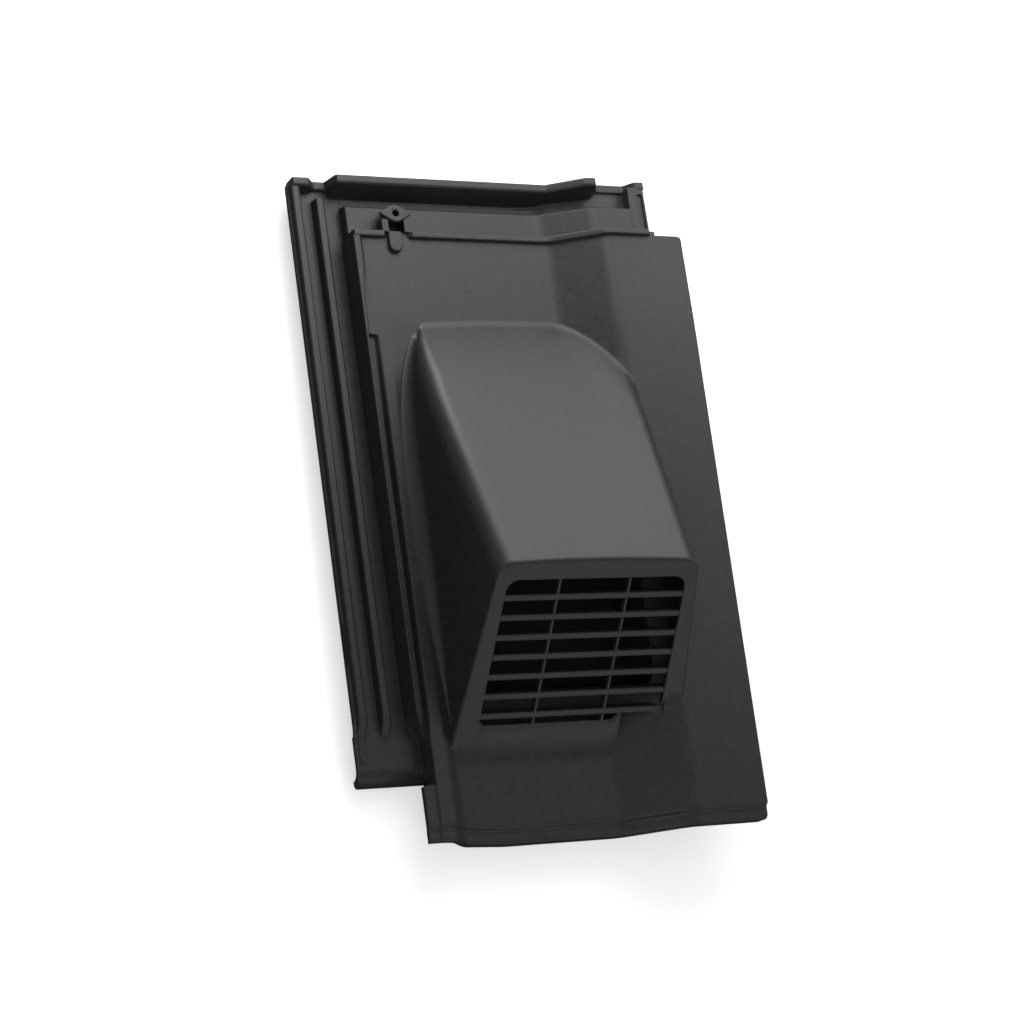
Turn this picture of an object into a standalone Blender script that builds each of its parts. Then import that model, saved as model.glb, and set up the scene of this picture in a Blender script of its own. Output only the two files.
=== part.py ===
"""Roof vent tile: one moulding of black polypropylene.

An interlocking flat-pan roof tile with a hooded, louvred air outlet. Tile axes while it is built:
+X across the roof, +Y up the slope, +Z away from the roof, zero height on the top of the weather rim.
The finished body is moved so that it stands on its lowest plane at Z = 0, centred in X and Y.
"""
import math

import bmesh
import bpy
from mathutils import Vector

# Overall sizes, metres
LEFT_X = -0.0456            # outer edge of the side lap
RIGHT_X = 0.2482            # outer edge of the roll
FOOT_Y = -0.0087            # front of the foot lip at the rim side
HEAD_Y = 0.4665             # back of the head wall
REST_Z = -0.0340            # plane of the collar rim and the nibs
SKIN = 0.0030               # general wall
EMBED = 0.0008              # overlap of one moulded feature with the next

# Cover surface: pan, slope and roll
PAN_Z = -0.0030
ROLL_RISE = 0.0230
CORNER_ROUND = 0.0045       # plan radius of the roll's two outer corners
SLOPE_X = 0.1465
SLOPE_RUN = 0.0380
SLOPE_ROUND = 0.16
SLOPE_GROW_LEFT = 0.0030    # the slope is wider at the foot than at the head by these two
SLOPE_GROW_RIGHT = 0.0050
COVER_END_Y = HEAD_Y - 0.0460
FALL_START_Y = HEAD_Y - 0.1095       # the pan and the roll fall below the rim line from here to the foot
FOOT_FALL = 0.0080
BORDER_FLAT_X = 0.0100      # the border beside the rim keeps its height up to here
BORDER_FOOT_X = 0.0270
BORDER_RUN = 0.0060         # width of the border's inner drop at the head
FOOT_BOW = 0.0036
FOOT_BOW_REACH = 0.0600
EDGE_ROUND = 0.0045
EDGE_DROP = 0.0120

# Weather rim and the groove beside it
RIM_X = -0.0063
RIM_WIDTH = 0.0017
GROOVE_DEPTH = 0.0090
GROOVE_EDGE_X = 0.0038
GROOVE_RUN = 0.0900         # the groove reaches its full depth over this length
BORDER_X = 0.0024
GROOVE_END_Y = HEAD_Y - 0.1195
RIM_END_Y = 0.0775
RIM_END_RUN = 0.0125

# Side lap
LAP_FLOOR_Z = -0.0195
LAP_END_Y = 0.0340
LAP_RIB_TOP_Z = -0.0113
LAP_RIB_WIDTH = 0.0054
LAP_RIB_CORE = 0.0018
LAP_RIB_DRAFT = 0.0006
LAP_RIB_X = (-0.0433, -0.0259)
LAP_RIB_END_Y = 0.0780
LAP_RIB_END_RUN = 0.0115
LAP_STRIP_HEIGHT = 0.0009
LAP_LIP_DROP = 0.0095
LAP_LIP_RUN = 0.0080
LAP_NOTCH_Y = (0.1170, 0.1430)
LAP_NOTCH_DEPTH = 0.0016
LAP_FLANGE_Z = -0.0152
LAP_FLANGE_DROP = 0.0016
LAP_FLANGE_THICK = 0.0020

# Head: ledge, channel, head wall
LEDGE_DROP = 0.0075
LEDGE_DROP_ROLL = 0.0030
LEDGE_END_Y = HEAD_Y - 0.0203
CHANNEL_DROP = 0.0088
HEAD_RIGHT_X = 0.2280
HEAD_WALL = 0.0052
HEAD_WALL_LEAN = 0.35
HEAD_WALL_Z = -0.0020
HEAD_LEFT_Z = -0.0100
HEAD_NOTCH_Z = -0.0170
HEAD_ROLL_Z = 0.0150
HEAD_DRAIN_Z = 0.0020
HEAD_RIGHT_Z = 0.0120
HEAD_RIB_WIDTH = 0.0080
RIDGE_Y = HEAD_Y - 0.0466
RIDGE_WIDTH = 0.0044
RIDGE_HEIGHT = 0.0030
RIDGE_END_X = 0.2215

# Fixing boss and its drain tongue
BOSS_X = 0.0285
BOSS_Y = HEAD_Y - 0.0288
BOSS_LENGTH = 0.0236
BOSS_WIDTH = 0.0145
BOSS_TOP_Z = 0.0003
BOSS_PLATE = 0.0030
BOSS_HOLE = 0.0052
BOSS_STEM = 0.0120
BOSS_POST = 0.0050
TONGUE_WIDTH = 0.0104
TONGUE_X = BOSS_X - 0.0025
TONGUE_END_Y = HEAD_Y - 0.0580
RIDGE_GAP = 0.0160

# Foot lip
LIP_STEP = 0.0026
LIP_RUN = 0.0140
SIDE_STEP = 0.0014          # the bead beside the border lies this much lower
LIP_DEPTH = 0.0120
LIP_BEAD_Y = -0.0052
BEAD_X = -0.0066
BEAD_END_Y = 0.0290

# Hood
HOOD_LEFT_X = 0.0195
HOOD_RIGHT_X = 0.1945
HOOD_LEFT_DRAFT = 0.134
HOOD_RIGHT_DRAFT = 0.150
HOOD_BACK_Y = HEAD_Y - 0.1090
HOOD_ROUND = 0.0130
HOOD_CROWN = 0.0020
HOOD_TOP_Z = 0.0811
HOOD_START = 0.88
HOOD_CORNER = 0.0190        # how far the left flank turns in at the rear
HOOD_CORNER_RUN = 0.1650
HOOD_FILLET = 0.0090        # widest flare of the left flank into the pan
HOOD_FILLET_RIGHT = 0.0050
HOOD_BLEND = 0.0050         # height over which the rear edge runs out into the cover
LEG_FOOT_HEIGHT = 0.0066    # concave foot in front of each leg of the louvre frame
LEG_FOOT_REACH = 0.0118
FACE_ANGLE = 50.0           # lean of the louvre face from the tile's normal, degrees
FACE_Y = 0.0630             # where the face plane crosses height zero

# Louvre grille, measured up the face from the pan
OPENING_TOP = 0.1270
OPENING_LEFT_X = 0.0354
OPENING_RIGHT_X = 0.1771
OPENING_TAPER = 0.0026
OPENING_ROUND = 0.0090
SLAT_COUNT = 7
SLAT_FIRST = 0.0244
SLAT_PITCH = 0.01462
SLAT_THICK = 0.0026
SLAT_DEPTH = 0.0060
SLAT_RECESS = 0.0005
WEB_THICK = 0.0018
WEB_X = (0.0780, 0.1314)
SILL_TOP_Z = 0.0011
SILL_RUN = 0.0270
SILL_WALL = 0.0030
SILL_END_X = 0.1455
SILL_END_RISE = 0.0040
SILL_END_RUN = 0.0080

# Underside
DUCT_LEFT_X = 0.0300
DUCT_RIGHT_X = 0.1750
DUCT_FRONT_Y = 0.0880
DUCT_BACK_Y = HOOD_BACK_Y - 0.0305
DUCT_ROUND = 0.0120
COLLAR_WALL = 0.0030
NIB_X = (0.0330, 0.1120)
NIB_WIDTH = 0.0240
NIB_Y = HEAD_Y - 0.0325
NIB_THICK = 0.0070
BRACE_DEPTH = 0.0080
BRACE_THICK = 0.0022
SKIRT_BOTTOM_Z = -0.0180
SKIRT_FRONT_Y = 0.0540
SKIRT_BACK_Y = HEAD_Y - 0.0725
FOOT_BRACE_Y = 0.0400
HEAD_BRACE_Y = SKIRT_BACK_Y - 0.0090
BRACE_X = (0.0680, 0.1240)
SIDE_BRACES = (0.22, 0.51, 0.80)   # shares of the duct's length
HOOK_INSET = 0.0290

FACE_LEAN = math.tan(math.radians(FACE_ANGLE))
LAP_PLATE_Z = LAP_FLOOR_Z - SKIN
FAR = 0.1200

PARTS = bpy.data.collections.new("roof_vent_tile")
CUTTERS = bpy.data.collections.new("cutters")


def clear_scene():
    for item in list(bpy.data.objects):
        bpy.data.objects.remove(item, do_unlink=True)
    bpy.context.scene.collection.children.link(PARTS)
    bpy.context.scene.collection.children.link(CUTTERS)


def ease(start, end, value):
    share = min(max((value - start) / (end - start), 0.0), 1.0)
    return share * share * (3.0 - 2.0 * share)


def ramp(share, rounding):
    """A straight rise from 0 to 1 whose two ends are rounded."""
    if share < -rounding:
        return 0.0
    if share < rounding:
        return (share + rounding) ** 2 / (4.0 * rounding)
    if share < 1.0 - rounding:
        return share
    if share < 1.0 + rounding:
        return 1.0 - (1.0 + rounding - share) ** 2 / (4.0 * rounding)
    return 1.0


def fall(y):
    share = (FALL_START_Y - y) / (FALL_START_Y - FOOT_Y)
    return FOOT_FALL * min(max(share, 0.0), 1.0)


def remap(value, pairs):
    """Carry a value through straight pieces between matching stops; outside them it stays."""
    for (a, result_a), (b, result_b) in zip(pairs, pairs[1:]):
        if a <= value <= b:
            return result_a + (result_b - result_a) * (value - a) / (b - a)
    return value


def slope_stops(y):
    """Places of the head's section, each with where it lies further down the tile."""
    share = fall(y) / FOOT_FALL
    right = SLOPE_X + SLOPE_RUN
    return ((BORDER_FOOT_X, BORDER_FOOT_X), (SLOPE_X, SLOPE_X - SLOPE_GROW_LEFT * share),
            (right, right + SLOPE_GROW_RIGHT * share), (RIGHT_X - 0.0100, RIGHT_X - 0.0100))


def across(x, y):
    return remap(x, slope_stops(y))


def roll_share(x, y=HEAD_Y):
    place = remap(x, [(b, a) for a, b in slope_stops(y)])
    return ramp((place - SLOPE_X) / SLOPE_RUN, SLOPE_ROUND)


def cover_base(x, y=HEAD_Y):
    return PAN_Z + ROLL_RISE * roll_share(x, y)


def border_foot(y):
    """The border's inner edge drops over a longer run as the pan falls."""
    return BORDER_FLAT_X + BORDER_RUN + (BORDER_FOOT_X - BORDER_FLAT_X - BORDER_RUN) * fall(y) / FOOT_FALL


def cover_z(x, y):
    return cover_base(x, y) - fall(y) * ease(BORDER_FLAT_X, border_foot(y), x)


def corner_pull(x, y):
    """The two outer corners of the roll are rounded in plan."""
    share = min(max((x - RIGHT_X) / CORNER_ROUND + 1.0, 0.0), 1.0)
    pull = CORNER_ROUND * (1.0 - math.sqrt(max(1.0 - share * share, 0.0)))
    return pull * (1.0 - ease(FOOT_Y, FOOT_Y + 0.0180, y) - ease(COVER_END_Y - 0.0180, COVER_END_Y, y))


def foot_bow(x, y):
    """The foot line bows down the slope across the pan."""
    share = ease(BORDER_FLAT_X, BORDER_FOOT_X * 1.6, x) * (1.0 - 0.2 * roll_share(x, y))
    reach = 1.0 - ease(0.0, FOOT_BOW_REACH, y)
    return -FOOT_BOW * share * reach


def ledge_z(x):
    return cover_base(x) - LEDGE_DROP - LEDGE_DROP_ROLL * roll_share(x)


def channel_z(x):
    return ledge_z(x) - CHANNEL_DROP


def hood_top(y):
    share = (HOOD_BACK_Y - y) / (HOOD_BACK_Y - FACE_Y - HOOD_TOP_Z * FACE_LEAN)
    shape = HOOD_START * share + (1.0 - HOOD_START) * (1.0 - max(1.0 - share, 0.0) ** 5)
    return PAN_Z + (HOOD_TOP_Z - PAN_Z) * shape


def solid(name, vertices, faces):
    """A named mesh object whose faces all point out."""
    mesh = bpy.data.meshes.new(name)
    mesh.from_pydata([tuple(v) for v in vertices], [], faces)
    body = bmesh.new()
    body.from_mesh(mesh)
    bmesh.ops.remove_doubles(body, verts=body.verts, dist=0.000001)
    bmesh.ops.recalc_face_normals(body, faces=body.faces)
    bmesh.ops.triangulate(body, faces=body.faces)
    body.to_mesh(mesh)
    body.free()
    item = bpy.data.objects.new(name, mesh)
    CUTTERS.objects.link(item)
    item.hide_render = True
    item.display_type = "WIRE"
    return item


def loft(name, loops):
    """A closed body through loops that have equal point counts."""
    count = len(loops[0])
    vertices = [p for loop in loops for p in loop]
    faces = []
    for i in range(len(loops) - 1):
        for j in range(count):
            k = (j + 1) % count
            faces.append((i * count + j, i * count + k, (i + 1) * count + k, (i + 1) * count + j))
    faces.append(tuple(range(count)))
    faces.append(tuple(reversed(range((len(loops) - 1) * count, len(loops) * count))))
    return solid(name, vertices, faces)


def block(name, x0, x1, y0, y1, z0, z1):
    loops = [[(x, y0, z0), (x, y1, z0), (x, y1, z1), (x, y0, z1)] for x in (x0, x1)]
    return loft(name, loops)


def prism(name, outline, z0, z1):
    return loft(name, [[(x, y, z) for x, y in outline] for z in (z0, z1)])


def sheet(name, tops, unders):
    """A closed wall between two grids of matching points."""
    rows, count = len(tops), len(tops[0])
    vertices = [p for row in tops for p in row] + [p for row in unders for p in row]
    below = rows * count
    faces = []
    for i in range(rows - 1):
        for j in range(count - 1):
            a, b = i * count + j, (i + 1) * count + j
            faces.append((a, b, b + 1, a + 1))
            faces.append((below + a, below + a + 1, below + b + 1, below + b))
    for j in range(count - 1):
        for a, flip in ((j, False), ((rows - 1) * count + j, True)):
            ring = (a, a + 1, below + a + 1, below + a)
            faces.append(tuple(reversed(ring)) if flip else ring)
    for i in range(rows - 1):
        for a, flip in ((i * count, True), (i * count + count - 1, False)):
            ring = (a, a + count, below + a + count, below + a)
            faces.append(tuple(reversed(ring)) if flip else ring)
    return solid(name, vertices, faces)


def rounded_box(x0, x1, y0, y1, radius, steps):
    outline = []
    corners = ((x1, y1, 0), (x0, y1, 90), (x0, y0, 180), (x1, y0, 270))
    for cx, cy, start in corners:
        px = cx - radius if cx == x1 else cx + radius
        py = cy - radius if cy == y1 else cy + radius
        for i in range(steps + 1):
            angle = math.radians(start + 90.0 * i / steps)
            outline.append((px + radius * math.cos(angle), py + radius * math.sin(angle)))
    return outline


def combine(target, tool, operation):
    """Apply one exact Boolean and drop the tool."""
    change = target.modifiers.new(operation.lower(), "BOOLEAN")
    change.operation = operation
    change.solver = "EXACT"
    change.object = tool
    graph = bpy.context.evaluated_depsgraph_get()
    mesh = bpy.data.meshes.new_from_object(target.evaluated_get(graph))
    target.modifiers.clear()
    old = target.data
    target.data = mesh
    bpy.data.meshes.remove(old)
    bpy.data.objects.remove(tool, do_unlink=True)
    return target


def spread(values, gap):
    """Sample positions through the given values, none further apart than the gap."""
    result = [values[0]]
    for a, b in zip(values, values[1:]):
        steps = max(1, math.ceil((b - a) / gap - 1e-6))
        result += [a + (b - a) * i / steps for i in range(1, steps + 1)]
    return result


def cover_samples(y=HEAD_Y):
    """Positions across the cover where its section bends."""
    bend = SLOPE_ROUND * SLOPE_RUN
    bends = [SLOPE_X + s for s in (-bend, 0.0, bend, SLOPE_RUN - bend, SLOPE_RUN, SLOPE_RUN + bend)]
    drop = [BORDER_FLAT_X + (border_foot(y) - BORDER_FLAT_X) * s for s in (0.0, 0.25, 0.5, 0.75, 1.0)]
    return drop + [(SLOPE_X - bend) * 0.5] + [across(s, y) for s in bends]


def groove_depth(y):
    share = min(max((GROOVE_END_Y - y) / GROOVE_RUN, 0.0), 1.0)
    return GROOVE_DEPTH * (0.6 + 0.4 * share)


def left_pairs(kind, y):
    """The rim end of the cover section: outer points, each with its partner on the inside."""
    edge = 0.0010
    rim_right = RIM_X + RIM_WIDTH
    deep = LAP_PLATE_Z + SKIN * 0.5
    corner = [(BORDER_X, PAN_Z - edge), (BORDER_X + edge, PAN_Z)]
    corner_in = [(BORDER_X + SKIN - 0.0003, PAN_Z - SKIN - edge), (BORDER_X + SKIN, PAN_Z - SKIN)]
    if kind == "bead":
        top = PAN_Z - SIDE_STEP
        outer = [(BEAD_X - 0.0003, PAN_Z - LIP_DEPTH), (BEAD_X, top - 0.0025), (BEAD_X + 0.0006, top - 0.0008),
                 (BEAD_X + 0.0020, top), (BORDER_X - 0.0014, top), (BORDER_X - 0.0004, top + 0.0002)]
        inner = [(BEAD_X + SKIN - 0.0003, PAN_Z - LIP_DEPTH), (BEAD_X + SKIN, top - 0.0045),
                 (BEAD_X + SKIN + 0.0002, top - 0.0036), (BEAD_X + SKIN + 0.0006, top - SKIN),
                 (BORDER_X - 0.0006, top - SKIN), (BORDER_X + 0.0012, top - SKIN)]
        return outer + corner, inner + corner_in
    if kind == "wall":
        shares = (0.0, 0.15, 0.30, 0.45, 0.60, 0.80)
        lean = 0.0012
        outer = [(BORDER_X - lean * (1.0 - s), deep + (PAN_Z - edge - deep) * s) for s in shares]
        inner = [(BORDER_X + SKIN - lean * (1.0 - s), deep + (PAN_Z - SKIN - edge - deep) * s) for s in shares]
        return outer + corner, inner + corner_in
    outer = [(RIM_X - 0.0013, deep), (RIM_X, -0.0006), (RIM_X + 0.0006, 0.0), (rim_right, 0.0)]
    if kind == "groove":
        low = -groove_depth(y)
        outer += [(rim_right + 0.0004, low), (GROOVE_EDGE_X - 0.0020, low)]
        corner = [(GROOVE_EDGE_X, PAN_Z - edge), (GROOVE_EDGE_X + edge, PAN_Z)]
        inner = [(RIM_X + SKIN - 0.0013, deep), (RIM_X + SKIN - 0.0011, low - 0.0060),
                 (RIM_X + SKIN - 0.0010, low - 0.0050), (RIM_X + SKIN - 0.0008, low - 0.0040),
                 (RIM_X + SKIN, low - SKIN), (BORDER_X + SKIN * 0.6, low - SKIN)]
        corner_in = [(GROOVE_EDGE_X + SKIN - 0.0003, PAN_Z - SKIN - edge), (GROOVE_EDGE_X + SKIN, PAN_Z - SKIN)]
        return outer + corner, inner + corner_in
    outer += [(rim_right + 0.0008, -0.0009), (BORDER_X - 0.0016, PAN_Z + 0.0006)]
    inner = [(RIM_X + SKIN - 0.0013, deep), (RIM_X + SKIN - 0.0002, -0.0070), (RIM_X + SKIN, -0.0052),
             (RIM_X + SKIN + 0.0002, -0.0045), (RIM_X + SKIN + 0.0012, -0.0044), (BORDER_X - 0.0010, PAN_Z - SKIN * 0.9)]
    return outer + [(BORDER_X, PAN_Z + 0.0001), (BORDER_X + edge, PAN_Z)], inner + corner_in


def cover_row(kind, place, drop, place_in, drop_in):
    """One row of the cover: outer points at one place up the slope, inner points at another."""
    outer, inner = left_pairs(kind, place)
    bead_drop = max(drop - SIDE_STEP, 0.0)
    bead_drop_in = max(drop_in - SIDE_STEP, 0.0)
    foot = PAN_Z - LIP_DEPTH if drop or drop_in else -FAR
    tops = [(x, place, max(z - (bead_drop if i < 5 else drop), foot)) for i, (x, z) in enumerate(outer)]
    lows = [(x, place_in, max(z - (bead_drop_in if i < 5 else drop_in), foot)) for i, (x, z) in enumerate(inner)]
    lean = SKIN * 0.28
    samples = [(x, 0.0, lean if 0.1 < roll_share(x, place) < 0.9 else 0.0, 0.0) for x in cover_samples(place)]
    turn = EDGE_ROUND
    samples += [(RIGHT_X - turn, 0.0, -0.0012, 0.0), (RIGHT_X - turn * 0.3, -turn * 0.3, -SKIN + 0.0002, 0.0009),
                (RIGHT_X, -turn, -SKIN, 0.0026), (RIGHT_X, -EDGE_DROP, -SKIN, SKIN)]
    for x, dz, dx, lift in samples:
        base = cover_z(x, place)
        foot = base - LIP_DEPTH
        shift = foot_bow(x, place) + corner_pull(x, place)
        tops.append((x, place + shift, max(base + dz - drop, foot)))
        base = cover_z(x, place_in)
        under = max(base + dz - SKIN + lift - drop_in, foot)
        lows.append((x + dx, place_in + shift, under))
    return tops, lows


def cover_plate():
    rows = [("bead", 0.0, LIP_DEPTH, SKIN, LIP_DEPTH), ("bead", 0.0, 0.0055, SKIN, 0.0042),
            ("bead", 0.0009, 0.0036, SKIN + 0.0005, 0.0030), ("bead", 0.0028, LIP_STEP, 0.0050, LIP_STEP),
            ("bead", 0.0086, LIP_STEP, 0.0118, LIP_STEP), ("bead", 0.0098, 0.0007, 0.0130, 0.0008),
            ("bead", 0.0112, 0.0, LIP_RUN, 0.0)]
    rows = [(kind, FOOT_Y + a, b, FOOT_Y + c, d) for kind, a, b, c, d in rows]
    plain = [("bead", BEAD_END_Y * 0.4), ("bead", BEAD_END_Y), ("wall", BEAD_END_Y + 0.0030),
             ("wall", RIM_END_Y - RIM_END_RUN)]
    plain += [("groove", y) for y in (RIM_END_Y, GROOVE_END_Y - GROOVE_RUN, GROOVE_END_Y - 0.0008)]
    plain += [("flush", GROOVE_END_Y), ("flush", FALL_START_Y), ("flush", COVER_END_Y)]
    rows += [(kind, y, 0.0, y, 0.0) for kind, y in plain]
    built = [cover_row(*row) for row in rows]
    return sheet("cover", [b[0] for b in built], [b[1] for b in built])


def section_run(name, positions, section):
    """A body swept across the tile: section(x) gives its (y, z) points."""
    return loft(name, [[(x, y, z) for y, z in section(x)] for x in positions])


def lap_profile(back, pull):
    """Gutter plate and its rounded end, which turns down over the tile below."""
    steps = 5
    run, drop = LAP_LIP_RUN, LAP_LIP_DROP
    run_in, drop_in = LAP_LIP_RUN - SKIN * 0.9, LAP_LIP_DROP - SKIN
    outer = [(back, LAP_FLOOR_Z)]
    inner = [(back, LAP_PLATE_Z)]
    for i in range(steps + 1):
        angle = math.radians(90.0 * i / steps)
        near = pull * math.sin(angle)
        outer.append((LAP_END_Y + near + run * (1.0 - math.sin(angle)), LAP_FLOOR_Z - drop * (1.0 - math.cos(angle))))
        inner.append((LAP_END_Y + near + run - run_in * math.sin(angle), LAP_PLATE_Z - drop_in * (1.0 - math.cos(angle))))
    return outer + list(reversed(inner))


def lap_flange():
    """The thin flange outside the first rib, notched once along its length."""
    y0, y1 = LAP_NOTCH_Y
    near = LAP_RIB_END_Y - LAP_RIB_END_RUN
    inside = LAP_RIB_X[0] + 0.0010
    places = ((near - 0.0020, 0.0002, 0.0), (LAP_RIB_END_Y, 0.0002, 1.0), (y0 - 0.0030, 0.0002, 1.0),
              (y0, LAP_NOTCH_DEPTH, 1.0), (y1, LAP_NOTCH_DEPTH, 1.0), (y1 + 0.0030, 0.0, 1.0),
              (HEAD_Y - 0.0145, 0.0, 1.0), (HEAD_Y - 0.0080, 0.0006, 1.0), (HEAD_Y - 0.0030, 0.0024, 1.0))
    loops = []
    for y, pull, share in places:
        left = LEFT_X + pull
        top = LAP_FLOOR_Z + 0.0002 + (LAP_FLANGE_Z - LAP_FLOOR_Z - 0.0002) * share
        edge = top - LAP_FLANGE_DROP * (0.3 + 0.7 * share)
        low = edge - LAP_FLANGE_THICK
        loops.append([(left, y, low), (left, y, edge), (inside, y, top), (inside, y, low)])
    return loft("flange", loops)


def side_lap():
    """The gutter plate with its two hollow ribs and the flange outside them."""
    under_wall = RIM_X + SKIN * 0.7
    edge = LAP_RIB_X[0] - 0.0007
    near = LAP_RIB_END_Y - LAP_RIB_END_RUN
    stations = ((LEFT_X, near + 0.0005, 0.0024), (LEFT_X + 0.0006, near + 0.0020, 0.0010),
                (edge - 0.0003, near + 0.0030, 0.0002), (edge, HEAD_Y - 0.0040, 0.0),
                (edge + 0.0016, HEAD_Y - EMBED, 0.0), (under_wall, HEAD_Y - EMBED, 0.0),
                (under_wall + 0.0004, RIM_END_Y, 0.0), (BORDER_X + SKIN * 0.6, RIM_END_Y - 0.0010, 0.0))
    plate = loft("side_lap", [[(x, y, z) for y, z in lap_profile(back, pull)] for x, back, pull in stations])
    for index, x in enumerate(LAP_RIB_X):
        right = x + LAP_RIB_WIDTH
        back = HEAD_Y - HEAD_WALL - (-0.0010 if index == 0 else 0.0090)
        low = LAP_FLOOR_Z - EMBED
        loops = []
        for y, z in ((LAP_RIB_END_Y - LAP_RIB_END_RUN, LAP_FLOOR_Z + 0.0002), (LAP_RIB_END_Y, LAP_RIB_TOP_Z),
                     (back, LAP_RIB_TOP_Z)):
            flare = LAP_RIB_DRAFT * (LAP_RIB_TOP_Z - low) / 0.0080
            slack = LAP_RIB_DRAFT * (LAP_RIB_TOP_Z - z) / 0.0080
            loops.append([(x - flare, y, low), (right + flare, y, low),
                          (right + slack, y, z), (x - slack, y, z)])
        combine(plate, loft("rib", loops), "UNION")
        middle = x + LAP_RIB_WIDTH * 0.5
        core = LAP_RIB_CORE * 0.5
        top = LAP_RIB_TOP_Z - SKIN * 0.7
        loops = [[(middle - core * 1.3, y, LAP_PLATE_Z - EMBED), (middle + core * 1.3, y, LAP_PLATE_Z - EMBED),
                  (middle + core * 0.8, y, top), (middle - core * 0.8, y, top)]
                 for y in (LAP_RIB_END_Y + SKIN, HEAD_Y - HEAD_WALL - 0.0120)]
        combine(plate, loft("rib_core", loops), "DIFFERENCE")
    low = LAP_FLOOR_Z - EMBED
    top = LAP_FLOOR_Z + LAP_STRIP_HEIGHT
    edge = ((0.0, low), (LAP_RIB_WIDTH, low), (LAP_RIB_WIDTH - 0.0004, top), (0.0006, top))
    ends = (LAP_END_Y + LAP_LIP_RUN + 0.0040, LAP_RIB_END_Y - LAP_RIB_END_RUN * 0.7)
    combine(plate, loft("strip", [[(LAP_RIB_X[0] + dx, y, z) for dx, z in edge] for y in ends]), "UNION")
    combine(plate, lap_flange(), "UNION")
    return plate


def head_plate():
    """Ledge, then the cross channel that drains to the side lap."""
    samples = [BORDER_FOOT_X] + [s for s in cover_samples() if s > BORDER_FOOT_X] + [HEAD_RIGHT_X - EMBED]
    left = RIM_X + 0.0009
    deep = LAP_PLATE_Z + SKIN * 0.5

    def row(y, top, under):
        start = top(0.0)
        tops = [(left - 0.0006, y, deep), (left, y, start - 0.0006), (left + 0.0006, y, start)]
        tops += [(x, y, top(x)) for x in samples]
        low = under(0.0) - SKIN
        lows = [(left + SKIN * 0.6, y, min(deep, low)), (left + SKIN * 0.8, y, min(low, low)), (left + SKIN, y, low)]
        lows += [(x, y, under(x) - SKIN) for x in samples]
        return tops, lows

    near = LEDGE_END_Y - SKIN
    rows = [row(COVER_END_Y - 0.0030, ledge_z, ledge_z), row(near, ledge_z, ledge_z),
            row(near + 0.0008, ledge_z, channel_z), row(LEDGE_END_Y, ledge_z, channel_z),
            row(LEDGE_END_Y + 0.0008, channel_z, channel_z), row(HEAD_Y - EMBED, channel_z, channel_z)]
    return sheet("head_plate", [r[0] for r in rows], [r[1] for r in rows])


def head_wall():
    """The stepped wall along the head of the tile."""
    left = LAP_RIB_X[0] + 0.0012
    notch = left + 0.0123
    inside = RIM_X - 0.0082
    roll = SLOPE_X + SLOPE_RUN - 0.0055
    drain = roll + 0.0082
    bump = HEAD_RIGHT_X - 0.0088
    stops = ((left, HEAD_LEFT_Z), (notch, HEAD_LEFT_Z), (notch + 0.0048, HEAD_NOTCH_Z), (inside, HEAD_NOTCH_Z),
             (inside + 0.0004, HEAD_WALL_Z), (SLOPE_X + 0.0068, HEAD_WALL_Z), (roll, HEAD_ROLL_Z),
             (drain, HEAD_ROLL_Z), (drain + 0.0025, HEAD_DRAIN_Z), (bump - 0.0025, HEAD_DRAIN_Z),
             (bump, HEAD_RIGHT_Z), (HEAD_RIGHT_X, HEAD_RIGHT_Z))
    heights = dict(stops)
    positions = spread([s[0] for s in stops], 0.0350)

    def height(x):
        for (a, za), (b, zb) in zip(stops, stops[1:]):
            if a <= x <= b:
                return za + (zb - za) * (x - a) / (b - a)
        return heights[HEAD_RIGHT_X]

    def section(x):
        floor = LAP_FLOOR_Z if x < RIM_X else channel_z(x)
        top = max(height(x), floor + 0.0018)
        edge = 0.0007
        front = HEAD_Y - HEAD_WALL
        toe = front - HEAD_WALL_LEAN * (top - floor)
        return [(HEAD_Y, floor - SKIN - 0.0003), (HEAD_Y, top - edge), (HEAD_Y - edge, top), (front + edge, top),
                (front, top - edge), (toe, floor - EMBED), (toe, floor - SKIN * 0.5),
                (front - 0.0010, floor - SKIN - 0.0003)]
    return section_run("head_wall", positions, section)


def ridge():
    """The upstand between the cover and the head ledge, lowered where the tongue crosses it."""
    gap0, gap1 = BOSS_X - RIDGE_GAP * 0.5, BOSS_X + RIDGE_GAP * 0.5
    end = HEAD_RIGHT_X - 0.0014
    stops = [RIM_X + 0.0012, gap0, gap0 + 0.0004, gap1, gap1 + 0.0004] + cover_samples()
    stops = sorted(s for s in stops + [RIDGE_END_X, RIDGE_END_X + 0.0004, end] if s <= end)

    def section(x):
        top = cover_base(x) + RIDGE_HEIGHT + 0.0002
        if gap0 < x <= gap1:
            top = PAN_Z - 0.0004
        if x > RIDGE_END_X:
            top = cover_base(x) - 0.0006
        low = ledge_z(x) - SKIN + EMBED
        return [(RIDGE_Y, low), (RIDGE_Y, top - 0.0007), (RIDGE_Y + 0.0007, top),
                (RIDGE_Y + RIDGE_WIDTH - 0.0007, top), (RIDGE_Y + RIDGE_WIDTH, top - 0.0007),
                (RIDGE_Y + RIDGE_WIDTH + 0.0003, low)]
    return section_run("ridge", [s for s in stops if s <= end and not BORDER_X < s < BORDER_FOOT_X - 0.0001
                                 or gap0 <= s <= gap1 + 0.0004], section)


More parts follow.
